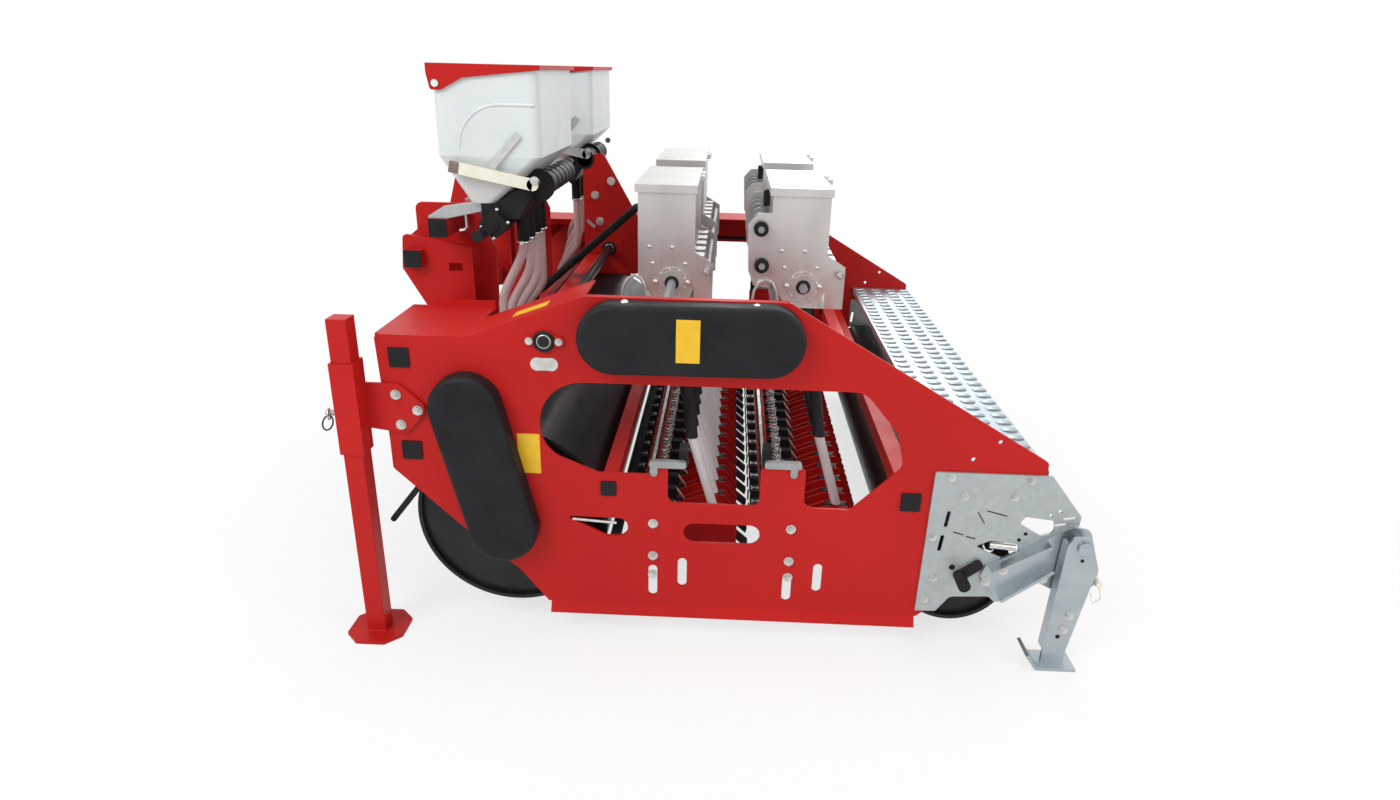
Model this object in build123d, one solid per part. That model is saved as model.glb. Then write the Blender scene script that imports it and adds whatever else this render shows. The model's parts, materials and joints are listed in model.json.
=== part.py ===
from build123d import *
import math
import os

# Mechanical seed drill, parked on its two front stands and two folding rear feet.
# Millimetres, +Z up. The machine travels towards -X and its left-hand side is -Y.
# The origin lies on the floor below the middle of the machine.

# Main frame
WIDTH = 1900            # over the outer faces of the side plates
PLATE_T = 8
FLANGE_T = 6            # folded top sheets
FRONT_X = -850
TAIL_X = 815
POD_END = -625          # behind this point the top line rises
POD_TOP = 830           # low front part of the side plates
LEFT_TOP = 940          # the left side plate carries the upper chain guard
RIGHT_TOP = 850
TAIL_TOP = 555
RISE = 110 / 290        # slope of the top line behind the pod
FALL = 385 / 665        # slope of the top line down to the tail
LAP_X = 570             # the red plate ends here, under the galvanised plate
LAP_Z = 475
PLATE_BOTTOM = 90
HEM_FRONT = -445
HEM_OUT = 15            # outward fold along the bottom edge
HEM_DROP = 27
POD_IN = 280            # width of the top sheet over the front pod
POD_LIP = 18
POD_DROP = 45
TOP_IN = 174            # width of the folded top flange
NOTCH_X = -4            # notch in the left top flange
NOTCH_R = 15
TOUCH = 0.3             # gap between curved pieces that sit beside each other
RUN = 0.05              # radial clearance of pins and shafts in their bores
SLACK = 5               # room round moving sheet metal

# Square cross tubes: x, z, side
TUBE_WALL = 4
CAP_T = 4
CAP_ROUND = 3
HEAD_TUBES = [(FRONT_X + 57, POD_TOP - 57, 50), (FRONT_X + 66, 526, 50)]
CROSS_TUBES = HEAD_TUBES + [(-285, 438, 40), (486, 432, 50)]
DRIVE_TUBE = (-490, POD_TOP - 50, 50)

# Rollers: x, z, outer radius
FRONT_ROLLER = (-547, 323, 254)
REAR_ROLLER = (633, 212, 150)
ROLLER_GAP = 27         # side plate to roller end
ROLLER_WALL = 10
DISC_IN = 14
DISC_T = 10
SHAFT_R = 25
HOUSING_R = 52
HOUSING_T = 14
SCRAPER = (-283, -256, 288, 300)    # x and z limits of the bar behind the front roller

# Chain guards: first centre x z, second centre x z, radius
TOP_GUARD = (-264, LEFT_TOP - 91, 104, LEFT_TOP - 88, 86)
FRONT_GUARD = (-632, 655, -554, 326, 88)
GUARD_OUT = 55
GUARD_WALL = 4
GUARD_EDGE = 14

# Galvanised rear plates and step
REAR_T = 6
REAR_X = 538
STEP_Z = 532
STEP_FRONT = 572
STEP_REAR = 822
STEP_T = 3
STEP_LIP = 25

# Head frame
BAR = 50
BAR_LOW = (-903, 918)
BAR_LOW_HALF = 505
BAR_HIGH = (-790, 1026)
BAR_HIGH_HALF = 600
HITCH_Y = 435           # lower link centres, category 2
HITCH_GAP = 70
HITCH_T = 10
HITCH_HOLE = (-788, 893, 40, 24)    # x, z, length, height of the window in the outer cheeks
LOWER_PIN = (-862, 555)
LOWER_BORE_R = 14.25
MAST_GAP = 56
MAST_T = 12
UPPER_PIN = (-845, 1150)
UPPER_BORE_R = 12.75
DRIVE_SHAFT = (-435, POD_TOP - 3)
DRIVE_SHAFT_R = 15
DRIVE_PLATE_Y = 190
EAR_SPAN = 36           # bearing middle to bolt
EAR_R = 14
RING_R = 30

# Seed hoppers: shaft x of each row, inner and outer y of each hopper
HOPPER_ROWS = (-155, 211)
HOPPER_IN = 112
HOPPER_OUT = 556
HOPPER_SINK = 115       # hopper feet below the top of the left side plate
HOPPER_H = 325
HOPPER_FRONT = 95       # from the shaft to the front wall
HOPPER_BACK = 62
HOPPER_WALL = 3
HOPPER_FLOOR = 110      # inside floor above the feet
BASE_FRONT = 80         # bottom plate that stands on the rails
BASE_BACK = 90
BASE_T = 4
METER_UP = 61           # metering shaft above the feet
METER_HEX = 22          # across flats
STIR_ROD = (100, 100, 8)            # x behind the shaft, height above the feet, radius
FEED_SHAFTS = [(-118, 120), (-124, 220)]    # x, height above the feet
FEED_HEX = 16           # across flats
FEED_DISCS = 5
FEED_DISC_R = 22
FEED_DISC_T = 12
END_T = 4               # end plates that carry the rods
END_RING_R = 44         # bearing ring on the outer end
TRAYS = 5
TRAY_W = 50
TRAY_OUT = 26
TRAY_Z = (55, 135)
LATCH = (18, 40, 30, 75)            # depth, width, top and bottom below the rim
LID_T = 3
LID_SKIRT = 18
HINGE_R = 4
KNUCKLE_R = 8
KNUCKLE_L = 40
RAIL = 30

# Granule hoppers, heights from the bottom of the hopper
GRAN_UP = 74            # bottom of the hopper above the middle of the upper toolbar
GRAN_X0 = -758
GRAN_X1 = -488
GRAN_IN = 195
GRAN_OUT = 655
GRAN_H = 336
GRAN_WAIST = 122
GRAN_WALL = 4
GRAN_ROUND = 25
SPOUT_X = -655
SPOUT_L = 70
SPOUT_IN = 30
GRAN_PIVOT_IN = 14      # lid pivot behind the front wall and below the rim
GRAN_PIVOT_DROP = 39
GRAN_PIVOT_R = 6
GRAN_LID_T = 3
GRAN_LID_OVER = 8
METER_FRONT = -660
METER_IN = 30           # metering housing inside the ends of the hopper
GEAR_BOX = (-622, -50, 58, 150)    # x, height, side of the square, length
GEAR_KNOB = (-650, -72)
KNOB_R = 15
KNOB_OUT = 60
BRUSH = (-518, 40, 34, 26)         # x, height, disc radius, hub radius
BRUSHES = 4
BRUSH_T = 46
BRUSH_GAP = 10
BRUSH_Y = 300
HOSE_R = 15
HOSE_X = -572
HOSE_DROP = 115         # lower end of the outlets below the hopper
OUTLET_L = 110
OUTLET_WALL = 2
HOSES = 4
HOSE_PITCH = 74
HOSE_KNEE = 40          # first bend of the outermost hose below the outlet
HOSE_STEP = 40          # each hose further in bends this much lower
HOSE_SLOPE = 90         # drop between the two bends of a hose
HOSE_BEND = 60
SPREAD_BAR = (-640, POD_TOP - 140, 30)
HOLDER_T = 6
HOLDER_IN = 30          # bracket plates inside the ends of the metering housing

# Coulter banks, x from the middle of each bank
BANKS = (-170, 183)
ROWS = 18
ROW_PITCH = 85
ROW_STAGGER = 21
BEAM = 40
BEAM_X = -46
BEAM_TOP = 255
HEX = 18                # lifting shaft across flats
ARM_T = 6
BOOT_T = 26
BOOT_TOP = 290
TUBE_X = 152            # foot of the seed tube
TUBE_R = 14
JOINT_X = 88            # where the black upper tube meets the white one
JOINT_Z = 500
RUBBER_R = 17
OUTLET_STEP = 20        # outlets stand in two staggered rows
OUTLET_EDGE = 6
CLAMP_L = 26
CLAMP_W = 40
CLAMP_Z = (235, 285)
SPRING_X = -6
SPRING_R = 12
SPRING_SEAT = 262
SPRING_TOP = 345

# Hand levers on the window tabs: first x z, second x z, lug x z, block x
LEVER_R = 9
LEVER_T = 16
LEVER_LUG = 6
LEVERS = [(-172, 512, -95, 512, -168, 488, -106), (196, 521, 120, 521, 186, 497, 106)]
LEVER_BLOCK = (22, 50, 48)          # length, depth, height
CRANK = (634, 228, 676, 262)        # handle x z, slot x z
CRANK_R = 13
CRANK_T = 12
CRANK_OUT = 58
CRANK_KNOB_R = 16
FRONT_LEVER = (-770, 430, -858, 318)
FRONT_LEVER_R = 8
CONDUITS = 3
CONDUIT_R = 9
CONDUIT_Y = -180
CONDUIT_PITCH = 22
CONDUIT_Z = 210         # upper end above the hopper feet
CONDUIT_BEND = 40

# Front stands
STAND_X = -913
LEG = 50
LEG_WALL = 4
LEG_TOP = 875
SLEEVE_WALL = 4.5
SLEEVE_FIT = 0.5
SLEEVE_Z0 = 532
SLEEVE_Z1 = 770
STAND_T = 8
FOOT_W = 150
FOOT_T = 8
PIN_Z = 632
PIN_R = 7
PIN_OUT = 34

# Rear folding feet
FOOT_PIVOT = (918, 350)
PIVOT_R = 10
PIVOT_OUT = 50
PIVOT_HEAD = 8
FOOT_ARM_T = 8
FOOT_RIB = 40
RIB_T = 8
FOOT_WEB = 8
FOOT_X = 895
FOOT_HALF = 30
ANKLE_Z = 40
SOLE_T = 8
SKID_W = 78
SKID_X0 = 811
SKID_X1 = 945

# Values worked out from the sizes above
HALF = WIDTH / 2
INNER = HALF - PLATE_T
ROLLER_HALF = INNER - ROLLER_GAP
REAR_WALL = HALF + REAR_T
HOPPER_BASE = LEFT_TOP - HOPPER_SINK
HOPPER_RIM = HOPPER_BASE + HOPPER_H
METER_Z = HOPPER_BASE + METER_UP
GRAN_BASE = BAR_HIGH[1] + GRAN_UP
GRAN_RIM = GRAN_BASE + GRAN_H
GRAN_PIVOT = (GRAN_X0 + GRAN_PIVOT_IN, GRAN_RIM - GRAN_PIVOT_DROP)
GRAN_MIDDLE = (GRAN_IN + GRAN_OUT) / 2
HOSE_TOP = GRAN_BASE - HOSE_DROP
SLEEVE = LEG + 2 * SLEEVE_FIT + 2 * SLEEVE_WALL
STAND_Y = -(HALF + SLEEVE / 2)

os.makedirs("parts", exist_ok=True)


def rounded(rows):
    """Closed face through rows of (u, v, corner radius)."""
    ends = []
    for i, (u, v, r) in enumerate(rows):
        p = Vector(u, v)
        a = Vector(*rows[i - 1][:2]) - p
        b = Vector(*rows[(i + 1) % len(rows)][:2]) - p
        if r == 0:
            ends.append((p, None, p))
            continue
        half = math.radians(a.get_angle(b)) / 2
        t = r / math.tan(half)
        a = a.normalized()
        b = b.normalized()
        middle = p + (a + b).normalized() * (r / math.sin(half) - r)
        ends.append((p + a * t, middle, p + b * t))
    edges = []
    for i, (start, middle, end) in enumerate(ends):
        if middle is not None:
            edges.append(ThreePointArc(start, middle, end))
        following = ends[(i + 1) % len(ends)][0]
        if (following - end).length > 1e-6:
            edges.append(Line(end, following))
    return make_face(edges)


def cornered(points, dx=0, dz=0):
    """Closed face with sharp corners through x, z points, moved by dx and dz."""
    return make_face(Polyline(*[(dx + u, dz + v) for u, v in points], close=True))


def prism_xz(face, y0, y1):
    """Face drawn in X and Z, made solid from y0 to y1."""
    return Pos(0, y1, 0) * extrude(Plane.XZ * face, amount=y1 - y0)


def prism_yz(face, x0, x1):
    """Face drawn in Y and Z, made solid from x0 to x1."""
    return Pos(x0, 0, 0) * extrude(Plane.YZ * face, amount=x1 - x0)


def block(x0, x1, y0, y1, z0, z1):
    """Box between two corners."""
    return Pos((x0 + x1) / 2, (y0 + y1) / 2, (z0 + z1) / 2) * Box(x1 - x0, y1 - y0, z1 - z0)


def rod_y(x, z, r, y0, y1):
    """Round bar along Y."""
    return Pos(x, (y0 + y1) / 2, z) * Rot(90, 0, 0) * Cylinder(r, y1 - y0)


def hex_y(x, z, flats, y0, y1):
    """Six-sided bar along Y, flat on top."""
    section = Pos(x, z) * RegularPolygon(flats / 2, 6, major_radius=False)
    return prism_xz(section, y0, y1)


def slot(u, v, length, width, angle=0):
    """Round-ended slot in a plate, drawn in X and Z."""
    return Pos(u, v) * SlotOverall(length, width, rotation=angle)


def square_tube(x, z, side, wall, y0, y1):
    """Hollow square tube along Y."""
    outer = block(x - side / 2, x + side / 2, y0, y1, z - side / 2, z + side / 2)
    core = side / 2 - wall
    return outer - block(x - core, x + core, y0, y1, z - core, z + core)


def stadium(x0, z0, x1, z1, r):
    """Face with two round ends about the points (x0, z0) and (x1, z1)."""
    middle = Pos((x0 + x1) / 2, (z0 + z1) / 2)
    angle = math.degrees(math.atan2(z1 - z0, x1 - x0))
    return middle * SlotCenterToCenter(math.hypot(x1 - x0, z1 - z0), 2 * r, rotation=angle)


def square_holes(face, places):
    """Face with a square hole for each tube in rows of x, z, side."""
    for u, v, side in places:
        face -= Pos(u, v) * Rectangle(side, side)
    return face


def right(piece):
    """Copy on the machine's right-hand side."""
    return mirror(piece, about=Plane.XZ)


def both(pieces):
    """Left-hand pieces with their mirror copies."""
    return [*pieces, *[right(piece) for piece in pieces]]


def save(name, *pieces):
    """Write every solid of the pieces as one node."""
    solids = [solid for piece in pieces for solid in piece.solids()]
    export_step(Compound(solids), f"parts/{name}.step")


def top_line(top):
    """Points of a side plate's top line, as x, z."""
    rise_end = POD_END + (top - POD_TOP) / RISE
    fall_start = TAIL_X - (top - TAIL_TOP) / FALL
    return [(FRONT_X, POD_TOP), (POD_END, POD_TOP), (rise_end, top), (fall_start, top), (TAIL_X, TAIL_TOP)]


# Side plates: corner radii of the top line, then rows of x, z, corner radius
TOP_ROUNDS = (12, 80, 30, 30, 12)
LOWER_ROWS = [
    (TAIL_X, LAP_Z, 0),
    (LAP_X, LAP_Z, 0),
    (LAP_X, PLATE_BOTTOM + 30, 0),
    (REAR_X, PLATE_BOTTOM, 0),
    (-452, PLATE_BOTTOM, 0),
    (-527, 188, 20),
    (-671, 309, 40),
    (FRONT_X + 11, 473, 14),
    (FRONT_X + 11, 556, 0),
]
OPENING_ROWS = [
    (-455, 724, 112),
    (-455, 540, 92),
    (-310, 481, 10),
    (-175, 481, 6),
    (-175, 502, 8),
    (-133, 502, 8),
    (-133, 402, 20),
    (103, 402, 20),
    (103, 511, 12),
    (216, 511, 12),
    (216, 402, 25),
    (336, 402, 20),
    (458, 528, 25),
    (436, 618, 80),
    (345, 724, 60),
]
TEARDROP_ROWS = [(-398, 353, 3), (-236, 352, 24), (-236, 301, 24), (-292, 299, 16)]
# Slots in the side plate: x, z, length, width, angle
PLATE_SLOTS = [
    (-170, 168, 94, 24, 90),
    (-92, 196, 87, 24, 90),
    (187, 160, 81, 24, 90),
    (266, 195, 87, 24, 90),
    (9, 317, 200, 57, 0),
]
TAIL_HOLES = [(688, 606), (628, 557)]
TAIL_HOLE_R = 6


def side_plate(top):
    """Side plate at the left-hand side."""
    rows = [(x, z, r) for (x, z), r in zip(top_line(top), TOP_ROUNDS)] + LOWER_ROWS
    face = rounded(rows) - rounded(OPENING_ROWS) - rounded(TEARDROP_ROWS)
    for u, v, length, width, angle in PLATE_SLOTS:
        face -= slot(u, v, length, width, angle)
    for u, v in TAIL_HOLES:
        face -= Pos(u, v) * Circle(TAIL_HOLE_R)
    face = square_holes(face, CROSS_TUBES)
    face -= Pos(*DRIVE_SHAFT) * Circle(DRIVE_SHAFT_R + TOUCH)
    plate = prism_xz(face, -HALF, -INNER)
    hem = cornered([
        (-INNER, PLATE_BOTTOM),
        (-HALF, PLATE_BOTTOM),
        (-HALF - HEM_OUT, PLATE_BOTTOM - HEM_DROP),
        (-INNER - HEM_OUT, PLATE_BOTTOM - HEM_DROP),
    ])
    return plate + prism_yz(hem, HEM_FRONT, REAR_X - SLACK)


save("side_plate_left", side_plate(LEFT_TOP))
save("side_plate_right", right(side_plate(RIGHT_TOP)))


# Folded sheets along the top of each side plate
def strip(points, thickness):
    """Band below a line of x, z points."""
    return cornered(points + [(x, z - thickness) for x, z in reversed(points)])


def top_sheet(top):
    """Folded sheet at the left-hand side."""
    points = top_line(top)[:-1]
    pod_edge = -HALF + POD_IN
    sheet = prism_xz(strip(points[:2], FLANGE_T), -INNER, pod_edge)
    lip_x = FRONT_X + 60
    sheet += block(lip_x, POD_END, pod_edge - FLANGE_T, pod_edge, POD_TOP, POD_TOP + POD_LIP)
    sheet += block(FRONT_X, FRONT_X + FLANGE_T, -INNER, pod_edge, POD_TOP - POD_DROP, POD_TOP - FLANGE_T)
    return sheet + prism_xz(strip(points[1:], FLANGE_T), -INNER, -HALF + TOP_IN)


notch = Pos(NOTCH_X, -HALF + TOP_IN, LEFT_TOP) * Cylinder(NOTCH_R, 4 * FLANGE_T)
save("top_sheet_left", top_sheet(LEFT_TOP) - notch)
save("top_sheet_right", right(top_sheet(RIGHT_TOP)))

# Cross tubes with black end caps
tubes = [square_tube(x, z, side, TUBE_WALL, -HALF, HALF) for x, z, side in CROSS_TUBES]
save("cross_tubes", *tubes, square_tube(*DRIVE_TUBE, TUBE_WALL, -INNER, INNER))


def end_cap(x, z, side, y):
    """Plastic cap with a plug inside the tube, for a tube end at -y."""
    core = side / 2 - TUBE_WALL
    head = prism_xz(Pos(x, z) * RectangleRounded(side, side, CAP_ROUND), -y - CAP_T, -y)
    return head + block(x - core, x + core, -y, -y + 3 * CAP_T, z - core, z + core)


caps = [end_cap(x, z, side, HALF) for x, z, side in CROSS_TUBES]
caps.append(end_cap(*BAR_LOW, BAR, BAR_LOW_HALF))
caps.append(end_cap(*BAR_HIGH, BAR, BAR_HIGH_HALF))
save("end_caps", *both(caps))


# Rollers with inset end discs, turning on stub shafts
def roller(x, z, r):
    """Hollow roller with its stub shafts."""
    hollow = rod_y(x, z, r - ROLLER_WALL, -ROLLER_HALF, ROLLER_HALF)
    body = rod_y(x, z, r, -ROLLER_HALF, ROLLER_HALF) - hollow
    for end in (-1, 1):
        outer = end * (ROLLER_HALF - DISC_IN)
        body += rod_y(x, z, r - ROLLER_WALL, *sorted((outer, outer - end * DISC_T)))
        body += rod_y(x, z, SHAFT_R, *sorted((outer, end * (INNER - TOUCH))))
    return body


def housing(x, z, y_wall):
    """Flange bearing on the inner face of the left wall."""
    disc = rod_y(x, z, HOUSING_R, -y_wall, -y_wall + HOUSING_T)
    return disc - rod_y(x, z, SHAFT_R + RUN, -y_wall, -y_wall + HOUSING_T)


save("front_roller", roller(*FRONT_ROLLER))
save("rear_roller", roller(*REAR_ROLLER))
save("roller_bearings", *both([housing(*FRONT_ROLLER[:2], INNER), housing(*REAR_ROLLER[:2], HALF)]))
x0, x1, z0, z1 = SCRAPER
save("scraper_bar", block(x0, x1, -INNER, INNER, z0, z1))


# Chain guards on the left-hand side
def guard(x0, z0, x1, z1, r):
    """Moulded cover with a rounded outer edge, open towards the plate."""
    shell = prism_xz(stadium(x0, z0, x1, z1, r), -HALF - GUARD_OUT, -HALF)
    shell = fillet(shell.faces().sort_by(Axis.Y)[0].edges(), GUARD_EDGE)
    inside = stadium(x0, z0, x1, z1, r - GUARD_WALL)
    return shell - prism_xz(inside, -HALF - GUARD_OUT + GUARD_EDGE, -HALF)


save("chain_guard_top", guard(*TOP_GUARD))
save("chain_guard_front", guard(*FRONT_GUARD))

# Galvanised rear plates: x, z, corner radius
REAR_ROWS = [
    (REAR_X, STEP_Z - 10, 6),
    (828, STEP_Z - 10, 6),
    (918, 412, 8),
    (917, 386, 8),
    (884, 350, 10),
    (746, 137, 20),
    (720, 165, 12),
    (618, 160, 20),
    (586, 113, 8),
    (532, 112, 0),
]
LATCH_HOLES = [
    [(665, 315, 3), (700, 333, 10), (775, 326, 14), (775, 290, 14), (735, 283, 12)],
    [(765, 386, 10), (780, 406, 8), (852, 398, 12), (858, 365, 14), (825, 352, 10)],
]
# Slots in the rear plate: x, z, length, width, angle
REAR_SLOTS = [
    (583, 390, 48, 10, 84),
    (575, 320, 48, 10, 84),
    (668, 398, 40, 4, -58),
    (890, 406, 34, 6, 10),
    (870, 387, 32, 6, 9),
]
REAR_HOLES = [(863, 424), (842, 412)]
REAR_HOLE_R = 5


def rear_plate():
    """Galvanised plate at the left-hand side."""
    face = rounded(REAR_ROWS)
    for rows in LATCH_HOLES:
        face -= rounded(rows)
    for u, v, length, width, angle in REAR_SLOTS:
        face -= slot(u, v, length, width, angle)
    for u, v in REAR_HOLES:
        face -= Pos(u, v) * Circle(REAR_HOLE_R)
    return prism_xz(face, -REAR_WALL, -HALF)


save("rear_plate_left", rear_plate())
save("rear_plate_right", right(rear_plate()))

# Step board across the rear, folded down along both edges
step = block(STEP_FRONT, STEP_REAR, -INNER, INNER, STEP_Z - STEP_T, STEP_Z)
for x0 in (STEP_FRONT, STEP_REAR - STEP_T):
    step += block(x0, x0 + STEP_T, -INNER, INNER, STEP_Z - STEP_LIP, STEP_Z - STEP_T)
save("step_board", step)

# Head frame: toolbars, hitch brackets and mast, rows of x, z, corner radius
save(
    "toolbars",
    square_tube(*BAR_LOW, BAR, TUBE_WALL, -BAR_LOW_HALF, BAR_LOW_HALF),
    square_tube(*BAR_HIGH, BAR, TUBE_WALL, -BAR_HIGH_HALF, BAR_HIGH_HALF),
)
NOSE_ROWS = [
    (-735, 490, 12),
    (-820, 490, 12),
    (-900, 525, 25),
    (-900, 590, 25),
    (-850, 720, 20),
    (-945, 885, 12),
]
OUTER_ROWS = [(-936, 985, 12), (-738, 952, 10)] + NOSE_ROWS
INNER_ROWS = [
    (-945, 965, 12),
    (-920, 985, 8),
    (-920, 1064, 20),
    (-752, 1064, 12),
    (-690, 935, 15),
    (-690, 700, 20),
] + NOSE_ROWS
MAST_ROWS = [
    (-885, 1185, 25),
    (-815, 1185, 25),
    (-740, 960, 20),
    (-740, 735, 12),
    (-835, 735, 12),
    (-948, 865, 15),
    (-948, 960, 15),
]
low_bar = (*BAR_LOW, BAR)
high_bar = (*BAR_HIGH, BAR)
x, z, length, height = HITCH_HOLE
outer_face = square_holes(rounded(OUTER_ROWS), [low_bar] + HEAD_TUBES)
outer_face -= Pos(x, z) * Rectangle(length, height) + Pos(*LOWER_PIN) * Circle(LOWER_BORE_R)
inner_face = square_holes(rounded(INNER_ROWS), [low_bar, high_bar] + HEAD_TUBES)
inner_face -= Pos(*LOWER_PIN) * Circle(LOWER_BORE_R)
outer_y = -HITCH_Y - HITCH_GAP / 2 - HITCH_T
inner_y = -HITCH_Y + HITCH_GAP / 2
cheeks = [prism_xz(outer_face, outer_y, outer_y + HITCH_T), prism_xz(inner_face, inner_y, inner_y + HITCH_T)]
save("hitch_brackets", *both(cheeks))
mast_face = square_holes(rounded(MAST_ROWS), [low_bar, high_bar] + HEAD_TUBES[:1])
mast_face -= Pos(*UPPER_PIN) * Circle(UPPER_BORE_R)
save("mast", *both([prism_xz(mast_face, -MAST_GAP / 2 - MAST_T, -MAST_GAP / 2)]))

# Drive: countershaft from the left side plate to a tall support plate
DRIVE_ROWS = [
    (-524, 1150, 8),
    (-452, 1162, 15),
    (-322, 930, 25),
    (-322, 735, 20),
    (-524, 735, 10),
]
drive_face = square_holes(rounded(DRIVE_ROWS), [DRIVE_TUBE])
drive_face -= Pos(*DRIVE_SHAFT) * Circle(DRIVE_SHAFT_R + TOUCH)
drive_end = DRIVE_PLATE_Y + PLATE_T
save("drive_plate", prism_xz(drive_face, DRIVE_PLATE_Y, drive_end))
save("drive_shaft", rod_y(*DRIVE_SHAFT, DRIVE_SHAFT_R, -HALF - 2 * CAP_T, drive_end + 2 * CAP_T))


def ring_bearing(x, z, y0, y1):
    """Two-bolt flange bearing of the countershaft."""
    ears = stadium(x - EAR_SPAN, z, x + EAR_SPAN, z, EAR_R) + Pos(x, z) * Circle(RING_R)
    return prism_xz(ears, y0, y1) - rod_y(x, z, DRIVE_SHAFT_R + TOUCH, y0, y1)


save(
    "drive_bearings",
    ring_bearing(*DRIVE_SHAFT, -HALF - CAP_T, -HALF),
    ring_bearing(*DRIVE_SHAFT, DRIVE_PLATE_Y - CAP_T, DRIVE_PLATE_Y),
)

# Seed hoppers: x from the shaft, height above the feet
FRONT_EARS = [
    (-HOPPER_FRONT, 262),
    (-134, 259),
    (-160, 230),
    (-154, 102),
    (-138, 60),
    (-HOPPER_FRONT, 55),
]
REAR_EARS = [(HOPPER_BACK, 150), (114, 118), (114, 0), (HOPPER_BACK, 0)]
SECTION = [
    (-HOPPER_FRONT, HOPPER_H),
    (HOPPER_BACK, HOPPER_H),
    (HOPPER_BACK, 50),
    (42, 0),
    (-42, 0),
    (-HOPPER_FRONT, 80),
]
HOLLOW = [
    (-HOPPER_FRONT + HOPPER_WALL, HOPPER_H),
    (HOPPER_BACK - HOPPER_WALL, HOPPER_H),
    (HOPPER_BACK - HOPPER_WALL, HOPPER_FLOOR + 40),
    (20, HOPPER_FLOOR),
    (-50, HOPPER_FLOOR),
    (-HOPPER_FRONT + HOPPER_WALL, HOPPER_FLOOR + 50),
]
HEX_BORE = METER_HEX / math.sqrt(3) + TOUCH
FEED_BORE = FEED_HEX / math.sqrt(3) + TOUCH


def hinge_axis(xs):
    """X and Z of a seed hopper lid's hinge."""
    return xs + HOPPER_BACK + KNUCKLE_R + LID_T, HOPPER_RIM + LID_T


def end_plates(points, xs, y0, y1):
    """A plate at each end of a hopper."""
    face = cornered(points, xs, HOPPER_BASE)
    return prism_xz(face, y0, y0 + END_T) + prism_xz(face, y1 - END_T, y1)


def seed_hopper(xs, y0, y1, fed):
    """Hopper open at the top, with hinge pin, feet, end plates and trays."""
    body = prism_xz(cornered(SECTION, xs, HOPPER_BASE), y0, y1)
    body -= prism_xz(cornered(HOLLOW, xs, HOPPER_BASE), y0 + HOPPER_WALL, y1 - HOPPER_WALL)
    hx, hz = hinge_axis(xs)
    middle = (y0 + y1) / 2
    half = KNUCKLE_L / 2
    ear_top = hz - HINGE_R + TOUCH
    body += block(xs + HOPPER_BACK, hx + HINGE_R, middle - half, middle + half, ear_top - KNUCKLE_R, ear_top)
    body += rod_y(hx, hz, HINGE_R, middle - 3 * half, middle + 3 * half)
    body += block(xs - BASE_FRONT, xs + BASE_BACK, y0, y1, HOPPER_BASE, HOPPER_BASE + BASE_T)
    body += end_plates(REAR_EARS, xs, y0, y1)
    back = xs + HOPPER_BACK
    low, high = TRAY_Z
    for i in range(TRAYS):
        y = y0 + (i + 0.5) * (y1 - y0) / TRAYS
        body += block(back, back + TRAY_OUT, y - TRAY_W / 2, y + TRAY_W / 2, HOPPER_BASE + low, HOPPER_BASE + high)
    outer = y0 - FLANGE_T if y0 < 0 else y1
    body += rod_y(xs, METER_Z, END_RING_R, outer, outer + FLANGE_T)
    body -= rod_y(xs, METER_Z, HEX_BORE, y0 - FLANGE_T, y1 + FLANGE_T)
    dx, dz, radius = STIR_ROD
    body -= rod_y(xs + dx, HOPPER_BASE + dz, radius + RUN, y0, y1)
    if fed:
        body += end_plates(FRONT_EARS, xs, y0, y1)
        for dx, dz in FEED_SHAFTS:
            body -= rod_y(xs + dx, HOPPER_BASE + dz, FEED_BORE, y0, y1)
    return body


def seed_lid(xs, y0, y1):
    """Folded lid with two hinge knuckles."""
    hx, hz = hinge_axis(xs)
    z0 = HOPPER_RIM + 1
    x0 = xs - HOPPER_FRONT - SLACK - LID_T
    x1 = hx - KNUCKLE_R + 2
    ya = y0 - SLACK - LID_T
    yb = y1 + SLACK + LID_T
    lid = block(x0, x1, ya, yb, z0, z0 + LID_T)
    lid += block(x0, x0 + LID_T, ya, yb, z0 - LID_SKIRT, z0)
    lid += block(x0, x1, ya, ya + LID_T, z0 - LID_SKIRT, z0)
    lid += block(x0, x1, yb - LID_T, yb, z0 - LID_SKIRT, z0)
    middle = (y0 + y1) / 2
    for side in (-1, 1):
        near = middle + side * (KNUCKLE_L / 2 + TOUCH)
        far = middle + side * 1.5 * KNUCKLE_L
        lid += rod_y(hx, hz, KNUCKLE_R, *sorted((near, far)))
        lid -= rod_y(hx, hz, HINGE_R + RUN, *sorted((near, far)))
    return lid


handles = []
for row, xs, fed in zip(("front", "rear"), HOPPER_ROWS, (False, True)):
    for hand, y0, y1 in (("left", -HOPPER_OUT, -HOPPER_IN), ("right", HOPPER_IN, HOPPER_OUT)):
        save(f"seed_hopper_{row}_{hand}", seed_hopper(xs, y0, y1, fed))
        save(f"seed_lid_{row}_{hand}", seed_lid(xs, y0, y1))
        depth, width, top, bottom = LATCH
        front = xs - HOPPER_FRONT
        y = (y0 + y1 - width) / 2
        handles.append(block(front - depth, front, y, y + width, HOPPER_RIM - bottom, HOPPER_RIM - top))

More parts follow.
